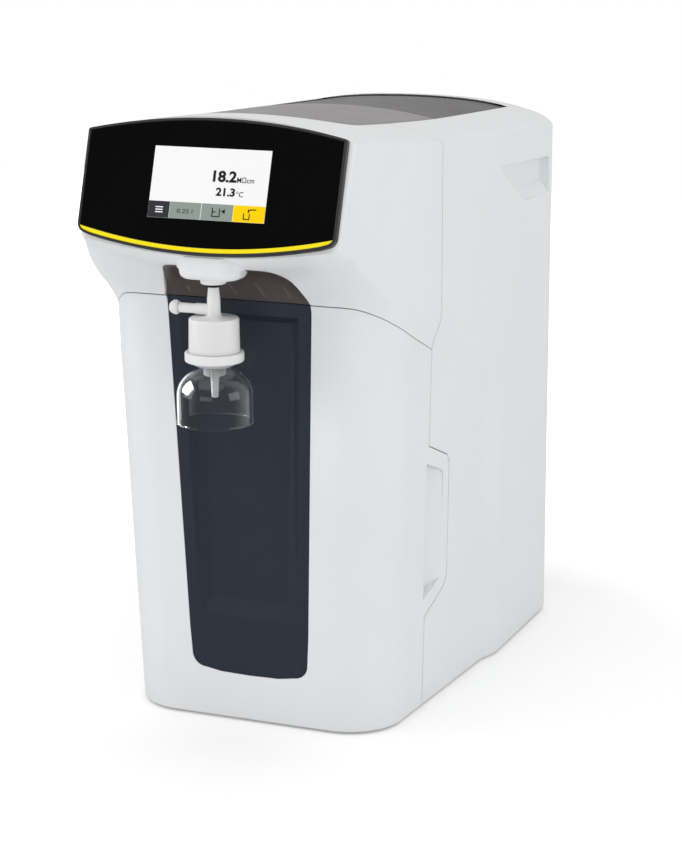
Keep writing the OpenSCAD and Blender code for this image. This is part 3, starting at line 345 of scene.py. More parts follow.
def glow(name, color, roughness, strength=0.10):
    material, tree, shader, surface = newMaterial(name, moulded, color, Drift=0.01, Roughness=roughness,
                                                  Grain=900.0)
    wire(tree, (surface, "Color", shader, "Emission Color"))
    setPlain(shader, Emission_Strength=strength)
    return material


def clear(name, color, roughness, transmission, ior, depth=0.02, drift=0.02, coat=0.0, inside=0.0):
    material, tree, shader, surface = newMaterial(name, moulded, color, Drift=drift, Roughness=roughness,
                                                  Grain=700.0, Gloss_Drift=0.01)
    setPlain(shader, Transmission_Weight=transmission, IOR=ior, Coat_Weight=coat, Coat_Roughness=0.02,
             Subsurface_Weight=inside, Subsurface_Scale=0.006, Subsurface_Radius=(1, 1, 1))
    bumpFrom(tree, shader, surface, depth, 0.0002)
    return material


finishes = dict(
    shellWhite=plastic("shellWhite", (0.80, 0.81, 0.82), 0.36, depth=0.04, edge=0.0008),
    panelSlate=plastic("panelSlate", (0.026, 0.034, 0.053), 0.40, depth=0.10, grain=3400.0, edge=0.0012),
    linerUmber=plastic("linerUmber", (0.088, 0.068, 0.068), 0.42, depth=0.08, edge=0.0006),
    # a lighter copy of the liner's umber for its ribs: a painted highlight on the rib crests
    linerRib=plastic("linerRib", (0.125, 0.105, 0.102), 0.4, depth=0.06, edge=0.0),
    lidTaupe=plastic("lidTaupe", (0.185, 0.167, 0.172), 0.33, depth=0.05),
    trayTaupe=plastic("trayTaupe", (0.075, 0.065, 0.065), 0.40, depth=0.05),
    bezelGraphite=plastic("bezelGraphite", (0.035, 0.035, 0.037), 0.5, depth=0.25, grain=2200.0, wear=0.25),
    frontGlass=plastic("frontGlass", (0.0025, 0.0025, 0.0024), 0.09, drift=0.1, depth=0.0, grain=60.0,
                       specular=0.35),
    screenLit=glow("screenLit", (0.86, 0.86, 0.86), 0.12),
    stripYellow=glow("stripYellow", (0.88, 0.71, 0.0), 0.3),
    valveBlack=plastic("valveBlack", (0.035, 0.037, 0.042), 0.45, wear=0.2),
    sealRubber=plastic("sealRubber", (0.012, 0.012, 0.012), 0.7, depth=0.2, grain=1500.0),
    filterMilky=clear("filterMilky", (0.95, 0.955, 0.96), 0.24, 0.14, 1.46, inside=0.35),
    membraneWhite=plastic("membraneWhite", (0.85, 0.85, 0.86), 0.85, depth=0.4, grain=1800.0),
    capWhite=plastic("capWhite", (0.80, 0.80, 0.81), 0.35),
    bellClear=clear("bellClear", (0.985, 0.992, 0.995), 0.01, 1.0, 1.07, depth=0.0, drift=0.004, coat=1.0),
    sheetSteel=metal("sheetSteel", (0.62, 0.63, 0.65), 0.28),
    cartridgeWhite=plastic("cartridgeWhite", (0.74, 0.75, 0.77), 0.32),
    cartridgeBlue=plastic("cartridgeBlue", (0.07, 0.13, 0.27), 0.32, wear=0.2),
    pumpGrey=metal("pumpGrey", (0.58, 0.58, 0.60), 0.42, (900, 900, 900)),
    motorBlack=plastic("motorBlack", (0.025, 0.027, 0.03), 0.38, depth=0.25, grain=1400.0, wear=0.3),
    boardGreen=plastic("boardGreen", (0.01, 0.085, 0.03), 0.35, drift=0.12),
    portBlack=plastic("portBlack", (0.012, 0.012, 0.014), 0.42, depth=0.12, wear=0.2),
    colletBlue=plastic("colletBlue", (0.02, 0.10, 0.45), 0.25, wear=0.1),
    colletGrey=plastic("colletGrey", (0.50, 0.50, 0.52), 0.25, wear=0.1),
    inkBlack=plastic("inkBlack", (0.01, 0.01, 0.01), 0.4, edge=0.0),
    barDark=glow("barDark", (0.035, 0.037, 0.042), 0.15),
    barGrey=glow("barGrey", (0.26, 0.31, 0.28), 0.15),
    barYellow=glow("barYellow", (0.93, 0.61, 0.0), 0.15),
    barWhite=glow("barWhite", (0.9, 0.9, 0.9), 0.15))


def finishFor(slot):
    # the finish that a slot of the record stands for, mostly its name in camel case
    first, *others = slot.split("_")
    camel = first + "".join(map(str.title, others))
    return dict(screen="screenLit", filter_clear="filterMilky").get(slot, camel)


slotOfNode = {part["node"]: part["material_slot"] for part in frame["record"]["subparts"]}
bodyOfNode = {name: item["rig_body"] for name, item in nodes.items()}
print("finishes ready:", len(finishes))


# ---- mesh helpers ----
def solid(name, verts, faces, check=False):
    mesh = bpy.data.meshes.new(name)
    mesh.from_pydata([tuple(v) for v in verts], [], faces)
    if check:
        mesh.validate()
    item = link(bpy.data.objects.new(name, mesh))
    work = bmesh.new()
    work.from_mesh(mesh)
    bmesh.ops.remove_doubles(work, verts=work.verts, dist=1e-6)
    bmesh.ops.recalc_face_normals(work, faces=work.faces)
    work.to_mesh(mesh)
    work.free()
    return item


def cutter(verts, faces):
    return solid("cutter", verts, faces)


def newPiece(name, verts, faces, finish, rides, replaced=(), angle=32):
    item = solid(name, verts, faces, True)
    dress(item, finish, rides, replaced, angle)
    return item


def dress(item, finish, rides, replaced=(), angle=32):
    item.data.materials.clear()
    item.data.materials.append(finishes[finish])
    item.data.shade_smooth()
    item.data.set_sharp_from_angle(angle=math.radians(angle))
    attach(item, rides)
    if replaced:
        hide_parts(*replaced)


def ringFaces(rings, count, closed=False):
    # quads from ring to ring, with both ends capped unless the last ring meets the first
    faces = []
    for j in range(rings if closed else rings - 1):
        a, b = j * count, ((j + 1) % rings) * count
        for i in range(count):
            k = (i + 1) % count
            faces.append((a + i, a + k, b + k, b + i))
    if not closed:
        last = (rings - 1) * count
        faces += [tuple(range(count - 1, -1, -1)), tuple(range(last, last + count))]
    return faces


def extruded(outline, low, high, place):
    verts = [place(p[0], p[1], low) for p in outline] + [place(p[0], p[1], high) for p in outline]
    return verts, ringFaces(2, len(outline))


def prism(outline, low, high, place):
    return cutter(*extruded(outline, low, high, place))


def acrossX(y, z, x):     # a side-view outline (Y, Z), run along X
    return at(x, y, z)


def alongY(x, z, y):      # a front-view outline (X, Z), run along Y
    return at(x, y, z)


operations = dict(cut="DIFFERENCE", add="UNION", keep="INTERSECT")


def carve(item, steps):
    # pairs of a kind of operation and a cutter, applied in turn with exact booleans
    for operation, tool in steps:
        change = item.modifiers.new("carve", "BOOLEAN")
        change.operation = operations[operation]
        change.object = tool
        change.solver = "EXACT"
    shaped = bpy.context.evaluated_depsgraph_get()
    shaped.update()
    result = bpy.data.meshes.new_from_object(item.evaluated_get(shaped))
    item.modifiers.clear()
    item.data = result
    for _, tool in steps:
        bpy.data.objects.remove(tool)
    work = bmesh.new()
    work.from_mesh(result)
    bmesh.ops.remove_doubles(work, verts=work.verts, dist=2e-6)
    bmesh.ops.dissolve_degenerate(work, edges=work.edges, dist=2e-6)
    work.to_mesh(result)
    work.free()


def mirroredX(points, shared=0):
    # an outline from its right half; shared end points lie on the middle line
    return points + [(-x, y) for x, y in reversed(points[shared:len(points) - shared])]


def arcPoints(cx, cy, r, start, end, steps=5):
    turns = [math.radians(mix(start, end, i / steps)) for i in range(steps + 1)]
    return [(cx + r * math.cos(a), cy + r * math.sin(a)) for a in turns]


def smoothLine(points, steps):
    # Catmull-Rom curve through the points
    line = []
    for i in range(len(points) - 1):
        p0, p1, p2, p3 = (points[max(0, min(len(points) - 1, i + k))] for k in (-1, 0, 1, 2))
        for s in range(steps):
            t = s / steps
            line.append(tuple(0.5 * (2 * b + (c - a) * t + (2 * a - 5 * b + 4 * c - d) * t * t
                                     + (3 * b - a - 3 * c + d) * t ** 3)
                              for a, b, c, d in zip(p0, p1, p2, p3)))
    return line + [tuple(points[-1])]


def rounded(points, radius, steps=5):
    # fillets on the inner corners of an open outline, all but those that are nearly straight
    line = [points[0]]
    for i in range(1, len(points) - 1):
        before, here, after = (Vector(points[k]) for k in (i - 1, i, i + 1))
        a, b = (before - here), (after - here)
        if radius <= 0 or a.angle(b) > math.radians(176):
            line.append(points[i])
            continue
        reach = min(radius / math.tan(a.angle(b) / 2), a.length * 0.48, b.length * 0.48)
        start, end = here + a.normalized() * reach, here + b.normalized() * reach
        for s in range(steps + 1):
            t = s / steps
            line.append(tuple(start * (1 - t) ** 2 + here * 2 * t * (1 - t) + end * t * t))
    return line + [points[-1]]


def elbow(r, h, wide, tall, degrees):
    # points of a quarter ellipse that starts at (r, h)
    return [(r - wide * (1 - math.cos(a)), h + tall * math.sin(a)) for a in map(math.radians, degrees)]


def latheMesh(profile, centre, segments=96, axis="Z", ribs=None):
    # profile is a closed line of (radius, height) in mm round an axis through centre; between the
    # heights in ribs, that many ribs stand out by its depth
    verts = []
    for i in range(segments):
        turn = 2 * math.pi * i / segments
        for r, h in profile:
            if ribs and ribs["low"] <= h <= ribs["high"] and r > ribs["inside"]:
                wave = math.cos(turn * ribs["count"])
                r += ribs["depth"] * clamp(0.5 + ribs.get("sharp", 1.6) * wave)
            a, b = r * math.cos(turn), r * math.sin(turn)
            offset = {"X": (h, a, b), "Y": (a, h, b), "Z": (a, b, h)}[axis]
            verts.append(at(*[c + d for c, d in zip(centre, offset)]))
    return verts, ringFaces(segments, len(profile), closed=True)


def lathe(name, profile, centre, finish, rides, replaced=(), segments=96, axis="Z", ribs=None):
    return newPiece(name, *latheMesh(profile, centre, segments, axis, ribs), finish, rides, replaced)


def turned(profile, centre, segments=96, axis="Z"):
    # a solid of revolution as a cutter; the profile runs from axis to axis
    return cutter(*latheMesh(profile, centre, segments, axis))


# ---- the moulded form ----
sideDrop = halfWidth ** 2 / (2 * body["roofArch"])


def roof(x, y):
    u = x / halfWidth
    k = clamp((y - body["seamDepth"]) / (body["depth"] - body["seamDepth"]))
    return body["crown"] - body["roofFall"] * y - sideDrop * (u * u - u * u * (1 - u * u)
                                                              * body["roofSquare"] * k)


def frontAt(z):
    return -body["frontLean"] * z


def rimAt(z):
    return display["y"] + (display["thick"] + body["near"]) / math.cos(display["lean"]) \
        + (z - display["z"]) * leanSlope


def seamLine(y):
    return body["sideSeam"] + body["seamSlope"] * (body["seamDepth"] - y)


lipY = rimAt(400) + display["lip"]
neckTaper = (body["footHalf"] + body["draft"] * body["sideSeam"] - display["footWidth"] / 2) \
    * body["taperShare"]


def flank(y, z):
    straight = mix(body["footHalf"] + body["draft"] * min(z, body["sideSeam"]), body["flankHalf"],
                   (y - body["seamDepth"]) / (body["bandTurn"] - body["seamDepth"]))
    inward = max(0, body["taperDepth"] - y) / (body["taperDepth"] - lipY)
    return straight - neckTaper * inward ** 2


def headSide(y, z):
    t = clamp((body["seamDepth"] - y) / (body["seamDepth"] - rimAt(max(z, body["headFloor"]))))
    rim = mix(display["footWidth"], display["width"], clamp((z - body["headFloor"]) / 100)) / 2
    return halfWidth - (halfWidth - rim) * t ** body["sideEase"]


def onShoulder(y, z):
    up = clamp((z - seamLine(y)) / body["band"])
    rear = clamp((y - body["bandTurn"]) / body["band"])
    return 1 - (1 - soft(up)) * (1 - soft(rear))


def sideAt(y, z):
    return mix(flank(min(y, body["bandTurn"]), z), headSide(y, z), onShoulder(y, z))


def lift(x):
    return body["cornerLift"] * (x / (display["footWidth"] / 2)) ** 2


def level(x, y, g):
    low = min(body["neck"], seamLine(min(y, body["bandTurn"])))
    if g <= 1:
        return mix(body["footRound"], low, g)
    high = min(body["headFloor"] + lift(x), seamLine(min(y, body["bandTurn"])) + body["band"])
    if g <= 2:
        return mix(low, high, neckUp(g - 1))
    edge = body["roofRound"] * clamp((y - body["roundFrom"]) / body["roundOver"])
    return mix(high, roof(x, y) - edge, g - 2)


def neckUp(t):
    return math.sin(body["neckTurn"] * t) / math.sin(body["neckTurn"])


def neckIn(g):
    if g <= 1 or g >= 2:
        return min(max(g - 1, 0), 1)
    return (1 - math.cos(body["neckTurn"] * (g - 1))) / (1 - math.cos(body["neckTurn"]))


def frontOf(g):
    if g <= 1:
        return frontAt(level(0, 0, g))
    if g <= 2:
        return mix(frontAt(body["neck"]), lipY, neckIn(g))
    return rimAt(level(0, lipY, g))


def spread(start, end, steps):
    return [mix(start, end, i / steps) for i in range(1, steps + 1)]


def sideRing(g):
    front = frontOf(g)
    corner = mix(body["frontCorner"], body["rimCorner"], neckIn(g) ** body["cornerEase"])
    y0 = front + corner
    width = sideAt(y0, level(halfWidth, y0, g))
    rearX, rearY = halfWidth - body["rearCorner"], body["depth"] - body["rearCorner"]
    half = [((width - corner) * i / 12, front) for i in range(13)]
    half += [(width - corner + corner * math.sin(a), y0 - corner * math.cos(a))
             for a in (math.pi / 2 * i / 18 for i in range(1, 19))]
    flankYs = spread(y0, body["seamDepth"], 12) + spread(body["seamDepth"], body["bandTurn"], 14) \
        + spread(body["bandTurn"], body["bandTurn"] + body["band"], 10) \
        + spread(body["bandTurn"] + body["band"], rearY, 8)
    half += [(sideAt(y, level(halfWidth, y, g)), y) for y in flankYs]
    half += arcPoints(rearX, rearY, body["rearCorner"], 0, 90, 10)[1:]
    half += [(rearX * (1 - i / 6), body["depth"]) for i in range(1, 7)]
    ring = []
    for x, y in mirroredX(half, 1):
        z = level(x, y, g)
        fade = neckIn(g) * clamp(-y / body["leanFade"])
        ring.append((x, y + (z - level(0, lipY, g)) * leanSlope * fade, z))
    return ring


def bodyRings():
    rings = []
    lowest = sideRing(0)
    r = body["footRound"]
    for angle in (0, 30, 60):
        a = math.radians(angle)
        k = 1 - r * (1 - math.sin(a)) / halfWidth
        rings.append([(x * k, mix(body["depth"] / 2, y, k), r * (1 - math.cos(a))) for x, y, z in lowest])
    levels = [i / 8 for i in range(9)] + spread(1, 2, 20) + spread(2, 3, 12)
    rings += [sideRing(g) for g in levels]
    highest = rings[-1]
    for angle in (22, 45, 68, 90):        # the round edge of the roof
        a = math.radians(angle)
        k = 1 - body["roofRound"] * (1 - math.cos(a)) / halfWidth
        ring = []
        for x, y, z in highest:
            u, v = x * k, mix(body["roofCentre"], y, k)
            top = roof(u, v)
            ring.append((u, v, mix(z, top, math.sin(a))))
        rings.append(ring)
    edge = rings[-1]
    for share in (0.93, 0.84, 0.74, 0.63, 0.51, 0.38, 0.25, 0.12, 0.03):
        rings.append([(x * share, mix(body["roofCentre"], y, share),
                       roof(x * share, mix(body["roofCentre"], y, share))) for x, y, z in edge])
    return rings


rings = bodyRings()
print("moulded form:", len(rings), "rings of", len(rings[0]))


# ---- outlines shared by the shells ----
# How far the cuts run on past the machine
past = dict(front=-300, rear=600, low=-10, high=700, side=220)
tabSettings = dict(rear=137.0, low=80.0, high=232.0, slope=17.0)


def tabOutline(g):
    rear, low, high, slope = (tabSettings[k] for k in ("rear", "low", "high", "slope"))
    s = body["seamDepth"]
    return [(s - g, low + g), (rear - 5 - g, low + slope + g), (rear - g, low + slope + 8 + g),
            (rear - g, high - slope - 8 - g), (rear - 5 - g, high - slope - g), (s - g, high - g)]


# Side view (Y, Z) of the seam between the front cover and the head
seamPoints = [(70.8, 322.7), (50.8, 331.0), (31.4, 339.8), (19.6, 345.8), (8.8, 352.0), (-0.3, 357.7),
              (-9.1, 362.6), (-15.5, 365.7), (-20.5, 366.9)]


def seamPath(g):
    curve = smoothLine(seamPoints + [(-28, body["headSeam"])], 4)
    return [(body["seamDepth"], body["sideSeam"] - g)] + [(y, z - g) for y, z in curve] \
        + [(past["front"], body["headSeam"] - g)]


def across(outline):
    return prism(outline, -past["side"], past["side"], acrossX)


def coverView(g):
    rear = body["seamDepth"] - 2 * g
    return [(past["front"], past["low"]), (rear, past["low"])] + tabOutline(2 * g) \
        + [(rear, body["sideSeam"] - g)] + seamPath(g)[1:]


def headView(g):
    rear = body["seamDepth"] - 2 * g
    return [(past["front"], past["high"]), (rear, past["high"]), (rear, body["sideSeam"] + g)] \
        + seamPath(-g)[1:]


def rearView():
    rear, high, low = past["rear"], past["high"], past["low"]
    return [(rear, high), (rear, low), (body["seamDepth"], low)] + tabOutline(0) + [(body["seamDepth"], high)]


def lowerOutline(z, t, yBack):
    front, r = frontAt(z) + t, body["frontCorner"] - t
    w = flank(body["frontCorner"], z) - t
    wb = flank(min(yBack, body["bandTurn"]), z) - t
    half = [(w - r + r * math.sin(a), front + r - r * math.cos(a))
            for a in (math.pi / 2 * i / 10 for i in range(11))]
    half += [(wb, min(yBack, body["bandTurn"])), (wb, yBack)]
    return mirroredX(half)


def lowerSpace(t, yBack, low, high):
    verts = [at(x, y, low) for x, y in lowerOutline(low, t, yBack)]
    verts += [at(x, y, high) for x, y in lowerOutline(high, t, yBack)]
    return cutter(verts, ringFaces(2, len(verts) // 2))


niche = dict(footWidth=105.6, headWidth=127.8, low=44.0, corner=12.0, sag=3.0)


def nicheOutline(t, above):
    n, head, low = niche["corner"] + t, niche["headWidth"] / 2 + t, niche["footWidth"] / 2 + t
    half = [(head, body["headSeam"] + above), (head, body["headSeam"] - 0.4),
            (low + 1.5, niche["low"] + 3 * n)]
    half += arcPoints(low - n, niche["low"] + n - t, n, 0, -90, 12)
    half += [(low / 2, niche["low"] - 0.8 * niche["sag"] - t), (0.001, niche["low"] - niche["sag"] - t)]
    return mirroredX(half)


roofInsert = dict(front=12.0, rear=380.0, half=96.0, joint=187.0, lidDrop=0.4, trayDrop=1.8, thick=3.0,
                  lip=0.3, steps=(1.0, 0.985, 0.9, 0.78, 0.64, 0.5, 0.36, 0.22, 0.08))


def insetOutline(t):
    front, rear, half = roofInsert["front"] + t, roofInsert["rear"] - t, roofInsert["half"] - t
    points = [(0, front - 7), (24, front - 5), (48, front + 1), (68, front + 9), (half - 16, front + 19),
              (half - 12, front + 30), (half - 6, 104), (half, 194), (half + 1, rear - 6), (half - 4, rear),
              (50, rear + 4), (0, rear + 6)]
    line = smoothLine(points[:6], 4)[:-1] + smoothLine(points[5:9], 5)[:-1] + smoothLine(points[8:], 3)
    return mirroredX(line, 1)


grips = dict(depth=11.0, front=85.0, rear=123.0, ramp=12.0, low=90.0, high=225.0, lining=2.0,
             opening=(97, 217), carryDepth=8.0, carryFront=236.0, carryRear=380.0, carryTop=447.0,
             carryLow=409.0, carryRamp=13.0, carryLining=7.0)
gripSide = flank(grips["rear"], 160)    # the flank at the finger grips


def meet(*tools):
    # the common part of several cutters
    carve(tools[0], [("keep", tool) for tool in tools[1:]])
    return tools[0]


def fingerGrip(side):
    front, rear, deep = grips["front"], grips["rear"], -grips["depth"]
    low, high = grips["opening"]
    view = across([(front, low), (rear - 3, low + 10), (rear, low + 15), (rear, high - 18),
                   (rear - 3, high - 13), (front, high)])
    plan = [(side * (gripSide + x), y)
            for x, y in [(20, rear), (0, rear), (deep, front + grips["ramp"]), (deep, front), (20, front)]]
    return meet(view, prism(plan, grips["low"], grips["high"], at))


def gripPocket(side):
    # what the cover's hollow leaves round a finger grip
    wall, front, rear = body["wall"], grips["front"], grips["rear"]
    inner = gripSide - grips["depth"] - wall
    plan = [(side * x, y)
            for x, y in [(200, rear + wall), (200, front - wall), (inner, front - wall),
                         (inner, front + grips["ramp"]), (gripSide - wall - 1, rear + wall)]]
    return prism(plan, grips["low"] + grips["lining"], grips["high"] - grips["lining"], at)


def carryingGrip(side):
    front, rear, top, low = (grips[k] for k in ("carryFront", "carryRear", "carryTop", "carryLow"))
    outer, inner = halfWidth + 5, halfWidth - grips["carryDepth"]
    view = across([(front, top + 3), (front + 72, low + 2), (rear, low), (rear - 2, top - 4)])
    plan = [(side * x, y) for x, y in [(outer, front), (halfWidth, front), (inner, front + 90),
                                       (inner, rear - 4), (halfWidth, rear), (outer, rear)]]
    section = [(side * x, z) for x, z in [(outer, low - 5), (halfWidth + 1, low - 1),
                                          (inner, low + grips["carryRamp"]), (inner, 500), (outer, 500)]]
    return meet(view, prism(plan, 300, 600, at), prism(section, 0, 600, alongY))


def carryingPocket(side):
    # what the housing's hollow leaves round a carrying grip
    wall, lining = body["wall"], grips["carryLining"]
    x0, x1 = sorted((side * (halfWidth + 1), side * (halfWidth - grips["carryDepth"] - wall)))
    y0, y1 = grips["carryFront"] - wall - 2, grips["carryRear"] + wall + 2
    outline = [(x0, y0), (x1, y0), (x1, y1), (x0, y1)]
    return prism(outline, grips["carryLow"] - lining, grips["carryTop"] + lining, at)


def wideOutline(t):
    r = body["rearCorner"]
    corner = arcPoints(halfWidth - t - r, body["depth"] - t - r, r, 90, 0, 8)
    return mirroredX(corner + [(halfWidth - t, -20)])


portBay = dict(width=180.0, low=40.0, height=210.0, depth=14.0)


def bayBox(t):
    half = portBay["width"] / 2 + t
    low, high = portBay["low"] - t, portBay["low"] + portBay["height"] + t
    outline = [(-half, low), (half, low), (half, high), (-half, high)]
    return prism(outline, body["depth"] - portBay["depth"] - 3, body["depth"] + 100, alongY)


def insetCut():
    return prism(insetOutline(0), 440, 640, at)


def roofSpace(drop, half):
    # the space below the roof, moved down by drop
    rows, columns = 10, 12
    xs = [mix(-half, half, k / columns) for k in range(columns + 1)]
    verts = []
    for y in (mix(-100, 600, i / rows) for i in range(rows + 1)):
        verts += [at(x, y, roof(x, y) - drop) for x in xs] + [at(half, y, -20), at(-half, y, -20)]
    return cutter(verts, ringFaces(rows + 1, columns + 3))


# ---- shells ----
def shellStart(name):
    return solid(name, [at(*point) for ring in rings for point in ring], ringFaces(len(rings), len(rings[0])))


def makeFrontCover():
    inner = lowerSpace(body["wall"], tabSettings["rear"] + 10, past["low"], body["headSeam"] + 20)
    carve(inner, [("cut", gripPocket(1)), ("cut", gripPocket(-1))])
    shell = shellStart("frontCoverShell")
    carve(shell, [("keep", across(coverView(body["seam"]))), ("cut", inner),
                  ("cut", prism(nicheOutline(body["seam"], 40), -60, 40, alongY)),
                  ("cut", fingerGrip(1)), ("cut", fingerGrip(-1))])
    dress(shell, "shellWhite", "front_cover", ["front_cover"], 28)


recess = dict(outline=[(64.5, 366.8), (63.2, 371), (61.2, 376.5), (59.2, 382), (56.9, 387), (54.3, 391.5),
                       (51.4, 395), (47.6, 397.7), (43, 399.2), (36, 400.1), (24, 400.6), (0.001, 400.9)],
              deepTop=16.0, deepFoot=1.0, deepFrom=367, deepOver=30, round=17.0, flush=0.5, lip=0.4,
              sheet=1.6, gap=0.15,
              shares=(1.0, 0.985, 0.96, 0.92, 0.87, 0.81, 0.74, 0.66, 0.56, 0.44, 0.3, 0.15, 0.0))


def neckAt(x, z):
    # depth of the neck's surface
    high = body["headFloor"] + lift(x)
    share = clamp((z - body["neck"]) / (high - body["neck"]))
    t = math.asin(share * math.sin(body["neckTurn"])) / body["neckTurn"]
    y = mix(frontAt(body["neck"]), lipY, neckIn(1 + t))
    centre = mix(body["neck"], body["headFloor"], neckUp(t))
    return y + (z - centre) * leanSlope * neckIn(1 + t) * clamp(-y / body["leanFade"])


def recessOutline(t):
    half = smoothLine(recess["outline"], 4)
    return [(half[0][0] + t, half[0][1])] \
        + [(x + t * clamp(2 - x / 200), z + t * clamp((z - 380) / 20)) for x, z in half[1:]]


outlet = dict(width=53.0, depth=36.0, corner=14.0, y=-62.0, low=392.0, edge=6.0, upright=5.4, flare=3.2,
              top=410.8, bore=21.3, boreTop=402.0)


def roundedBox(halfX, halfY, r):
    points = []
    for cx, cy, start in ((1, 1, 0), (-1, 1, 90), (-1, -1, 180), (1, -1, 270)):
        points += arcPoints(cx * (halfX - r), cy * (halfY - r), r, start, start + 90, 8)
    return points


def outletBlock():
    low, edge, flare = outlet["low"], outlet["edge"], outlet["flare"]
    turns = [math.pi / 2 * i / 8 for i in range(9)]
    # a round lower edge, then a hollow fillet into the head
    rows = [(edge * (math.sin(a) - 1), low + edge * (1 - math.cos(a))) for a in turns]
    rows += [(flare * (1 - math.cos(a)), low + outlet["upright"] + flare * math.sin(a)) for a in turns[1:]]
    rows.append((flare, outlet["top"]))
    verts = []
    for grow, z in rows:
        plan = roundedBox(outlet["width"] / 2 + grow, outlet["depth"] / 2 + grow, outlet["corner"] + grow)
        back = max(grow, 0)      # the front face stays upright below the display
        verts += [at(x, outlet["y"] + back + y, z) for x, y in plan]
    return cutter(verts, ringFaces(len(rows), len(verts) // len(rows)))


def makeHeadCover():
    shell = shellStart("headCoverShell")
    half = recessOutline(0)
    arch = prism(mirroredX([(half[0][0], 300)] + half), -120, 40, alongY)
    circle = arcPoints(0, outlet["y"], outlet["bore"] / 2, 0, 354, 59)
    bore = prism(circle, 380, outlet["boreTop"], at)
    carve(shell, [("keep", across(headView(body["seam"]))), ("cut", arch),
                  ("add", outletBlock()), ("cut", bore), ("cut", insetCut())])
    dress(shell, "shellWhite", "housing", ["head_cover"], 28)


def linerDepth(x, z, edge):
    deep = mix(recess["deepFoot"], recess["deepTop"], clamp((z - recess["deepFrom"]) / recess["deepOver"]))
    return neckAt(x, z) + recess["flush"] + deep * soft(edge / recess["round"]) \
        + recess["lip"] * clamp(edge / 2)


def makeLiner():
    half, shares = recessOutline(-recess["gap"]), recess["shares"]
    line = half + [(-x, z) for x, z in reversed(half[:-1])]
    foot, verts = line[0][1], []
    for thick, order in ((0.0, shares), (recess["sheet"], shares[::-1])):
        for share in order:
            for x, z in line:
                px, pz = x * share, foot + (z - foot) * share
                edge = math.hypot(x - px, z - pz)
                verts.append(at(px, linerDepth(px, pz, edge) + thick, pz))
    count, rows = len(line), 2 * len(shares)
    faces = []
    for j in range(rows):
        a, b = j * count, (j + 1) % rows * count
        faces += [(a + i, a + i + 1, b + i + 1, b + i) for i in range(count - 1)]
    # the open foot, closed between the front and the rear sheet
    for end in (0, count - 1):
        faces.append(tuple(end + j * count for j in range(rows)))
    newPiece("recessScoop", verts, faces, "linerUmber", "housing", ["recess_liner"], 60)


# Raised ribs of the liner: lower end, upper end (X, Z)
linerRibs = [((-43, 370.5), (-49.5, 381.5)), ((-22, 370.5), (-28, 382)), ((-1, 370.5), (-7.5, 382.5)),
             ((24, 370.5), (17.5, 382)), ((47, 370.5), (42, 380.5))]


def makeRibs():
    verts, faces, steps = [], [], 8
    for low, high in linerRibs:
        first = len(verts)
        for i in range(steps + 1):
            t = i / steps
            x, z = mix(low[0], high[0], t), mix(low[1], high[1], t)
            fade = math.sin(math.pi * clamp(0.12 + 0.88 * (1 - t)) ** 0.8)
            for side, up in ((-1.7, -0.5), (-0.8, 0.4), (0.8, 0.4), (1.7, -0.5)):
                verts.append(at(x + side, linerDepth(x, z, 30) - up * fade, z))
        faces += [tuple(first + k for k in f) for f in ringFaces(steps + 1, 4)]
    # the ribs take the lighter copy of the liner's umber: a painted highlight
    newPiece("recessRibs", verts, faces, "linerRib", "housing", ["recess_liner"], 50)


def makeRearHousing():
    wall, low, depth = body["wall"], past["low"], body["depth"]
    turn, band, front, high = body["bandTurn"], body["band"], -100, 600
    hollow = across([(turn + band + wall, low), (depth - wall, low), (depth - wall, high), (front, high),
                     (front, seamLine(front) + band + 4), (turn, seamLine(turn) + band + 4),
                     (turn + band + wall, seamLine(turn) + 4)])
    carve(hollow, [("add", lowerSpace(wall, depth, low, roof(0, depth) - 60)),
                   ("keep", prism(wideOutline(wall), low, 590, at)),
                   ("keep", roofSpace(wall, halfWidth + 8)), ("cut", bayBox(wall)),
                   ("cut", carryingPocket(1)), ("cut", carryingPocket(-1))])
    shell = shellStart("rearHousingShell")
    carve(shell, [("keep", across(rearView())), ("cut", hollow), ("cut", bayBox(0)),
                  ("cut", carryingGrip(1)), ("cut", carryingGrip(-1)), ("cut", insetCut())])
    dress(shell, "shellWhite", "housing", ["rear_housing"], 28)


makeFrontCover()
makeHeadCover()
makeRearHousing()
makeLiner()
makeRibs()
print("shells carved")


# ---- roof insert ----
def insetSlab(name, front, rear, drop, finish, replaced, lip=None):
    outline = [(x, min(max(y, front), rear)) for x, y in insetOutline(body["near"])]
    cleaned = [p for i, p in enumerate(outline) if math.dist(p, outline[i - 1]) > 0.01]
    centre = (front + rear) / 2 if front > 0 else (cleaned[0][1] + rear) / 2
    steps = roofInsert["steps"]
    layers = [[(x, y, drop + roofInsert["thick"]) for x, y in cleaned]]
    if lip:      # the slab's edge stands up along the shells
        layers += [[(x * s, mix(centre, y, s), lip if y > front + 2 else drop + 0.4) for x, y in cleaned]
                   for s in (1.0, 0.993)]
        steps = (0.987,) + steps[2:]
    layers += [[(x * s, mix(centre, y, s), drop + (0.5 if s == 1.0 else 0)) for x, y in cleaned]
               for s in steps]
    verts = [at(x, y, roof(x, y) - d) for layer in layers for x, y, d in layer]
    newPiece(name, verts, ringFaces(len(layers), len(cleaned)), finish, "housing", [replaced], 40)


insetSlab("topLidInsert", -50, roofInsert["joint"] - body["near"], roofInsert["lidDrop"], "lidTaupe",
          "top_lid")
insetSlab("topTrayInsert", roofInsert["joint"], 600, roofInsert["trayDrop"], "trayTaupe", "top_tray",
          roofInsert["lip"])
print("roof insert ready")

# ---- display ----
def onDisplay(u, v, n):
    c, k = math.cos(display["lean"]), math.sin(display["lean"])
    return at(u, display["y"] + v * k - n * c, display["z"] + v * c + n * k)


def edgePoint(half, rise, x, base):
    r = (half * half + rise * rise) / (2 * rise)
    return base + rise - r + math.sqrt(r * r - x * x)


displayDown = display["height"] - display["up"]


def lowerEdge(x):
    return -edgePoint(display["footWidth"] / 2, display["bow"], x, displayDown)


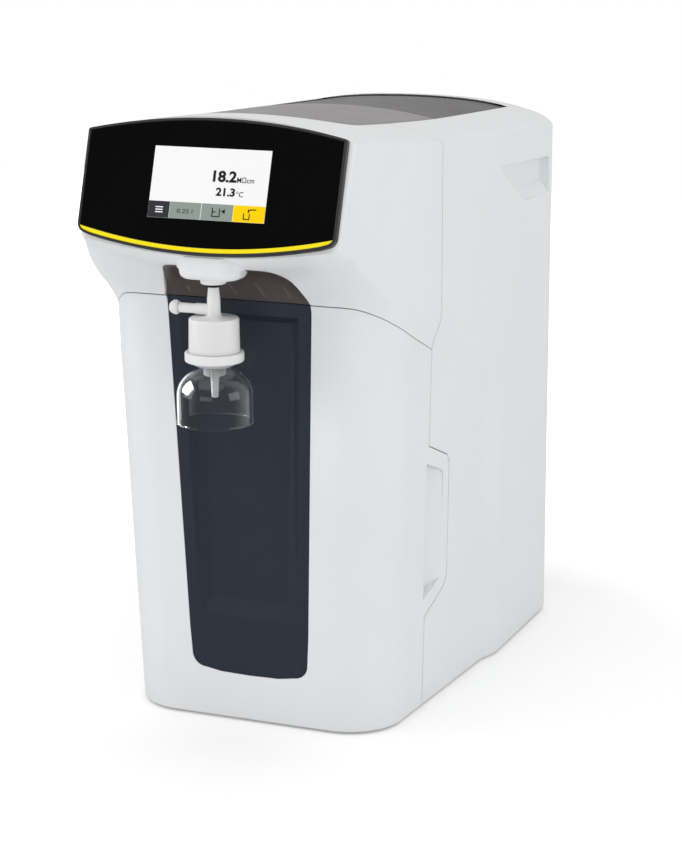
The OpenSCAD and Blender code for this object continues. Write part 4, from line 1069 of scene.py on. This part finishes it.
def displayOutline(t):
    high, low, r = display["width"] / 2 - t, display["footWidth"] / 2 - t, display["corner"] - t
    top = [(x, edgePoint(display["width"] / 2, display["arch"], x, display["up"]) - t)
           for x in (high * i / 24 for i in range(25))]
    corner = arcPoints(low - r, -displayDown + t + r - 1, r, 0, -70, 10)
    side = [top[-1], (mix(low, high, 0.12), -displayDown + t + r)]
    half = rounded(top[-2:] + side[1:], display["topCorner"] - t * 0.5)
    half = top[:-2] + half + corner
    half += [(x, lowerEdge(x) + t) for x in ((low - r) * i / 24 for i in range(23, -1, -1))]
    return mirroredX(half, 1)


def stripTop(x, up=0.0):
    return lowerEdge(x) + display["stripRim"] + display["strip"] + up


def splitOutline(t, gap):
    # the strip below its upper line and the glass above it
    line = displayOutline(t)
    below = [p for p in line if p[1] < stripTop(p[0]) - 0.3]
    ends = max(x for x, _ in below)
    above = [p for p in line if p[1] > stripTop(p[0], gap) + 0.3]
    first = next(i for i, p in enumerate(above)
                 if p[0] > 0 and above[(i + 1) % len(above)][0] < 0 and p[1] < 0)
    above = above[first + 1:] + above[:first + 1]
    reach = above[-1][0]
    upper = [(x, stripTop(x)) for x in (mix(-ends - 0.4, ends + 0.4, i / 48) for i in range(49))]
    lower = [(x, stripTop(x, gap)) for x in (mix(reach, -reach, i / 48) for i in range(49))]
    right = [p for p in below if p[0] >= 0]
    left = [p for p in below if p[0] < 0]
    return right + left + upper, above + lower


def makeDisplay():
    thick, rim = display["thick"], display["rim"]
    profile = [(0.0, -thick), (0.0, -0.7), (0.12, -0.3), (0.35, -0.08), (0.7, 0.0), (rim - 0.45, 0.0),
               (rim - 0.12, -0.1), (rim, -0.35), (rim, -2.3), (rim + 7, -2.3), (rim + 7, -thick)]
    verts = [onDisplay(u, v, n) for t, n in profile for u, v in displayOutline(t)]
    count = len(verts) // len(profile)
    newPiece("displayFrame", verts, ringFaces(len(profile), count, closed=True), "bezelGraphite", "housing",
             ["display_housing"], 40)
    strip, glass = splitOutline(rim + 0.06, 0.16)
    half = [display["screenWidth"] / 2, display["screenHeight"] / 2]
    window = [(-half[0], -half[1]), (half[0], -half[1]), (half[0], half[1]), (-half[0], half[1])]
    pane = newPiece("displayPane", *extruded(glass, -display["glass"], -0.1, onDisplay), "frontGlass",
                    "housing", ["display_glass"])
    carve(pane, [("cut", prism(window, -6, 6, onDisplay))])
    dress(pane, "frontGlass", "housing", ["display_glass"], 32)
    lit = newPiece("litStrip", *extruded(strip, -display["glass"], 0.1, onDisplay), "stripYellow", "housing",
                   ["light_strip"])
    for piece, width in ((pane, 0.00012), (lit, 0.0003)):
        edge = piece.modifiers.new("edge", "BEVEL")
        edge.width, edge.segments, edge.limit_method = width, 2, "ANGLE"
    panel = [(u * 0.9985, v * 0.9975) for u, v in window]
    newPiece("screenPanel", *extruded(panel, -3.0, -0.2, onDisplay), "screenLit", "housing",
             ["touch_screen"])


# Places in mm from the screen's centre: left, right, foot, height
readout = [("18.2", 2.62, 22.81, 2.0, 9.1, True), ("M\u03a9cm", 23.3, 37.96, 2.2, 4.5, False),
           ("21.3", 6.44, 22.73, -8.95, 6.6, True), ("\u00b0C", 23.97, 30.0, -8.95, 4.3, False),
           ("0.25 l", -25.2, -11.6, -24.1, 3.4, False)]
menuBar = dict(height=13.0, low=-28.35, stroke=0.85, ink=(-0.11, -0.05),
               cells=[(-50.2, -31.9, "barDark"), (-31.6, -4.7, "barGrey"), (-4.2, 22.9, "barGrey"),
                      (23.3, 50.2, "barYellow")])


def writing(text, left, right, low, height, bold):
    curve = bpy.data.curves.new("readout", "FONT")
    curve.body = text
    curve.resolution_u = 6
    curve.offset = 0.036 if bold else 0.004
    curve.extrude = 0.01
    item = link(bpy.data.objects.new("readout", curve))
    shaped = bpy.context.evaluated_depsgraph_get()
    shaped.update()
    mesh = bpy.data.meshes.new_from_object(item.evaluated_get(shaped))
    bpy.data.objects.remove(item)
    xs, ys = [v.co.x for v in mesh.vertices], [v.co.y for v in mesh.vertices]
    for v in mesh.vertices:
        u = mix(left, right, (v.co.x - min(xs)) / (max(xs) - min(xs)))
        w = mix(low, low + height, (v.co.y - min(ys)) / (max(ys) - min(ys)))
        v.co = onDisplay(u, w, -0.08 if v.co.z > 0 else -0.16)
    return mesh


def stroke(points, width):
    # both edges of a flat line of even width with mitred corners
    inner, outer = [], []
    for i, p in enumerate(points):
        here = Vector(p)
        a, b = here - Vector(points[max(i - 1, 0)]), Vector(points[min(i + 1, len(points) - 1)]) - here
        a, b = (a if a.length > 0 else b).normalized(), (b if b.length > 0 else a).normalized()
        way = (a + b).normalized()
        side = Vector((-way.y, way.x)) * (width / 2 / max(0.3, way.dot(a)))
        inner.append(here + side)
        outer.append(here - side)
    return inner, outer


def makeStrokes(name, lines, finish):
    verts, faces = [], []
    for points in lines:
        first, last = len(verts), len(verts) + 4 * (len(points) - 1)
        for pair in zip(*stroke(points, menuBar["stroke"])):
            verts += [onDisplay(u, v, n) for n in menuBar["ink"] for u, v in pair]
        for a in range(first, last, 4):
            faces += [(a + k, a + m, a + 4 + m, a + 4 + k) for k, m in ((0, 1), (1, 3), (3, 2), (2, 0))]
        faces += [(end, end + 1, end + 3, end + 2) for end in (first, last)]
    newPiece(name, verts, faces, finish, "housing", (), 30)


def makeReadout():
    for i, words in enumerate(readout):
        dress(link(bpy.data.objects.new("readout%d" % i, writing(*words))), "inkBlack", "housing")
    low, high = menuBar["low"], menuBar["low"] + menuBar["height"]
    for i, (left, right, finish) in enumerate(menuBar["cells"]):
        cell = [(left, low), (right, low), (right, high), (left, high)]
        newPiece("menuCell%d" % i, *extruded(cell, -0.24, -0.12, onDisplay), finish, "housing")
    makeStrokes("menuLines", [[(-43.9, v), (-37.4, v)] for v in (-20.0, -22.0, -24.0)], "barWhite")
    beaker = [(4.6, -18.6), (5.4, -19.2), (5.4, -25.2), (11.6, -25.2), (11.6, -18.6)]
    arrow = [(12.8, -20.9), (16.1, -22.9), (16.1, -18.9)]
    newPiece("fillArrow", *extruded(arrow, *menuBar["ink"], onDisplay), "inkBlack", "housing")
    makeStrokes("fillSign", [beaker, [(5.4, -21.6), (8.2, -21.6)]], "inkBlack")
    cup = [(32.4, -21.4), (32.4, -26.0), (37.2, -26.0), (37.2, -21.4)]
    spout = arcPoints(38.6, -20.9, 2.6, 180, 90) + [(42.6, -18.3)]
    makeStrokes("pourSign", [cup, spout, [(36.0, -20.2), (36.0, -18.0)]], "inkBlack")


makeDisplay()
makeReadout()
print("display ready")


# ---- dispensing ----
axis = (0.0, outlet["y"], 0.0)
filterTop, flangeTop = 360.5, 333.3
vent = dict(z=366.5, reach=31.0, bore=1.2)


def makeNozzle():
    lathe("outletNozzle", [(6.25, 388.1), (6.7, 387.6)] + arcPoints(9.0, 389.0, 1.4, -90, 0)
          + [(10.4, 401.5), (1.5, 401.5), (1.5, 395.75), (6.25, 395.75)],
          axis, "shellWhite", "housing", ["nozzle"])
    lathe("nozzleSleeve", [(4.3, 385.4), (4.6, 385.1)] + arcPoints(5.4, 385.7, 0.6, -90, 0)
          + [(6.0, 394.1), (4.3, 394.1)], axis, "sealRubber", "housing", ["nozzle_seal"])


def makeCapsule():
    outer = [(0, flangeTop), (20.55, flangeTop)] + arcPoints(18.55, filterTop - 1.5, 1.5, 4, 80, 6) \
        + [(17, filterTop + 0.2), (8.3, filterTop + 0.75)] \
        + [(8.3 - 2.6 * math.sin(a), filterTop + 0.75 + 2.6 * (1 - math.cos(a)))
           for a in (math.radians(d) for d in (25, 50, 72, 88))] \
        + [(5.45, filterTop + 5), (5.3, filterTop + 15.6), (5.0, filterTop + 16.8), (4.55, filterTop + 22),
           (4.2, filterTop + 25), (4.2, 392.5), (0, 392.5)]
    tube = [(0, -2), (3.95, -2), (4.0, -29.6), (3.7, -30.0), (3.0, -30.3), (3.0, -vent["reach"]),
            (0, -vent["reach"])]
    collar = [(0, -3), (4.6, -3), (4.6, -9), (4.5, -15.2), (4.4, -15.8), (3.9, -16.2), (0, -16.2)]
    hollow = [(0, flangeTop - 1), (18.3, flangeTop - 1), (18.1, filterTop - 3.4), (17.1, filterTop - 2.2),
              (3, filterTop - 1.9), (2, filterTop - 0.9), (2, 394), (0, 394)]
    side = (axis[0], axis[1], vent["z"])
    bore = [(0, -3), (vent["bore"], -3), (vent["bore"], -40), (0, -40)]
    shell = turned(outer, axis)
    carve(shell, [("add", turned(tube, side, 40, "X")), ("add", turned(collar, side, 40, "X")),
                  ("cut", turned(hollow, axis)), ("cut", turned(bore, side, 24, "X"))])
    shell.name = "capsuleShell"
    dress(shell, "filterMilky", "filter", ["filter_body"], 30)
    base = [(1.5, 295.8), (2.5, 295.8), (2.8, 296.1), (3.3, 309.5), (3.7, 312.0), (4.6, 313.5)] \
        + [(7.4, 313.5), (8.1, 313.8), (8.4, 314.5), (8.4, 319.9), (8.8, 320.9), (13.5, 321.2)] \
        + [(15.4, 322.0), (21.6, 325.3)] + arcPoints(22.55, 326.5, 1.2, -70, 0) \
        + arcPoints(22.55, 331.85, 1.2, 0, 90) + [(20.9, 333.05), (18.3, 333.05), (18.3, 331.5), (1.5, 331.0)]
    lathe("capsuleBase", base, axis, "filterMilky", "filter", ["filter_base"], 144, "Z",
          dict(count=18, depth=0.6, low=314.2, high=320.0, inside=8.0))
    lathe("pleats", [(6, 334.0), (16.4, 334.0), (16.9, 334.6), (16.9, 353.6), (16.4, 354.2), (6, 354.2)],
          axis, "membraneWhite", "filter", ["filter_membrane"], 216, "Z",
          dict(count=36, depth=0.9, low=334.0, high=354.2, inside=12.0, sharp=0.5))
    knob = [(3.06, -30.5), (4.3, -30.5), (4.8, -30.7), (5.1, -31.2), (5.35, -31.9), (5.35, -34.6)] \
        + elbow(5.35, -34.6, 4.6, -3.9, (15, 32, 50, 68, 84)) \
        + [(0.4, -38.6), (0.001, -38.6), (0.001, -31.3), (3.06, -31.3)]
    lathe("ventKnob", knob, side, "capWhite", "vent_cap", ["vent_cap"], 96, "X",
          dict(count=8, depth=0.45, low=-34.6, high=-31.9, inside=5.0, sharp=1.2))


bellForm = dict(d=61.4, low=275.1, high=320.65, dome=23.0, wall=1.4, bead=0.4, collar=8.95,
                turn=math.radians(73))


def domeLine(r, h, z):
    top, steps = bellForm["turn"], 16
    return [(r * math.cos(top * i / steps), z + h * math.sin(top * i / steps) / math.sin(top))
            for i in range(steps + 1)]


def makeBell():
    b = bellForm
    r, base, inner = b["d"] / 2, b["high"] - b["dome"], b["d"] / 2 - b["wall"]
    line = [(inner, b["low"] + 0.3), (inner + 0.35, b["low"])] \
        + arcPoints(r + b["bead"] - 0.5, b["low"] + 0.5, 0.5, -90, 0) \
        + [(r + b["bead"], b["low"] + 0.9), (r + 0.05, b["low"] + 1.5), (r, b["low"] + 2.2)]
    line += domeLine(r, b["dome"], base)
    line += [(b["collar"] + 0.2, b["high"]), (b["collar"], b["high"] - 0.3),
             (b["collar"], b["high"] - b["wall"])]
    line += reversed(domeLine(inner, b["dome"] - b["wall"], base))
    bell = lathe("drippingBell", line, axis, "bellClear", "bell", ["bell"], 128)
    shone = bpy.data.collections.new("bellOnly")
    shone.objects.link(bell)
    for name, values in bellLights.items():
        makeLight(name, **values).light_linking.receiver_collection = shone


def makeCollets():
    for name, finish in (("feed_collet", "colletBlue"), ("drain_collet", "colletGrey")):
        low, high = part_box(name)
        centre = ((low.x + high.x) / 2 / mm, low.y / mm + middle + 2, (low.z + high.z) / 2 / mm - footHeight)
        profile = [(3.2, -2), (5.2, -2), (5.5, -1.7), (5.5, 11.2), (6.4, 11.25), (6.7, 11.55), (6.7, 12.3),
                   (6.35, 12.7), (3.6, 12.7), (3.2, 12.3)]
        lathe(name + "Ring", profile, centre, finish, bodyOfNode[name], [name], 48, "Y")


makeNozzle()
makeCapsule()
makeBell()
makeCollets()
print("dispensing pieces ready")

# ---- carried-over nodes ----
softEdges = dict(weld=0.00001, width=0.0003, segments=2, angle=math.radians(38))
widerEdges = dict(niche_panel=0.0008, base_plate=0.0006, feet=0.0006)
flatNodes = ("rear_panel",)     # a cut sheet, whose edges need no rounding


def softenNode(name):
    item = nodes[name]
    item.data.materials.clear()
    item.data.materials.append(finishes[finishFor(slotOfNode[name])])
    if name in flatNodes:
        item.data.shade_flat()
        return
    weld = item.modifiers.new("weld", "WELD")
    weld.merge_threshold = softEdges["weld"]
    edge = item.modifiers.new("edge", "BEVEL")
    edge.width = widerEdges.get(name, softEdges["width"])
    edge.segments = softEdges["segments"]
    edge.limit_method = "ANGLE"
    edge.angle_limit = softEdges["angle"]
    edge.harden_normals = False
    smooth = item.modifiers.new("weights", "WEIGHTED_NORMAL")
    smooth.keep_sharp = True


for nodeName, nodeItem in nodes.items():
    if not nodeItem.hide_render:
        softenNode(nodeName)
print("nodes finished")


floorSettings = dict(half=3.0, near=0.34, far=1.0, nearGlow=0.16, farGlow=1.0, color=(0.97, 0.97, 0.97))


def makeFloor():
    f = floorSettings
    mesh = bpy.data.meshes.new("floor")
    corners = [(x * f["half"], y * f["half"], 0) for x, y in ((-1, -1), (1, -1), (1, 1), (-1, 1))]
    mesh.from_pydata(corners, [], [(0, 1, 2, 3)])
    item = link(bpy.data.objects.new("floor", mesh))
    material, tree, shader, _ = newMaterial("paleFloor", moulded, f["color"], Drift=0.0, Roughness=0.6,
                                            Grain=40.0)
    place = node(tree, "TexCoord")
    away = maths(tree, "LENGTH", "VectorMath")
    fade = node(tree, "MapRange", From_Min=f["near"], From_Max=f["far"], To_Min=f["nearGlow"],
                To_Max=f["farGlow"])
    # the floor shows white without lighting the machine
    path = node(tree, "LightPath")
    seen = maths(tree, "MULTIPLY")
    wire(tree, (place, "Object", away, 0), (away, "Value", fade, "Value"), (fade, "Result", seen, 0),
         (path, "Is Camera Ray", seen, 1), (seen, 0, shader, "Emission Strength"))
    setPlain(shader, Emission_Color=(1, 1, 1, 1), Specular_IOR_Level=0.1)
    mesh.materials.append(material)
    item.visible_glossy = item.visible_transmission = False


makeFloor()

print("scene ready")
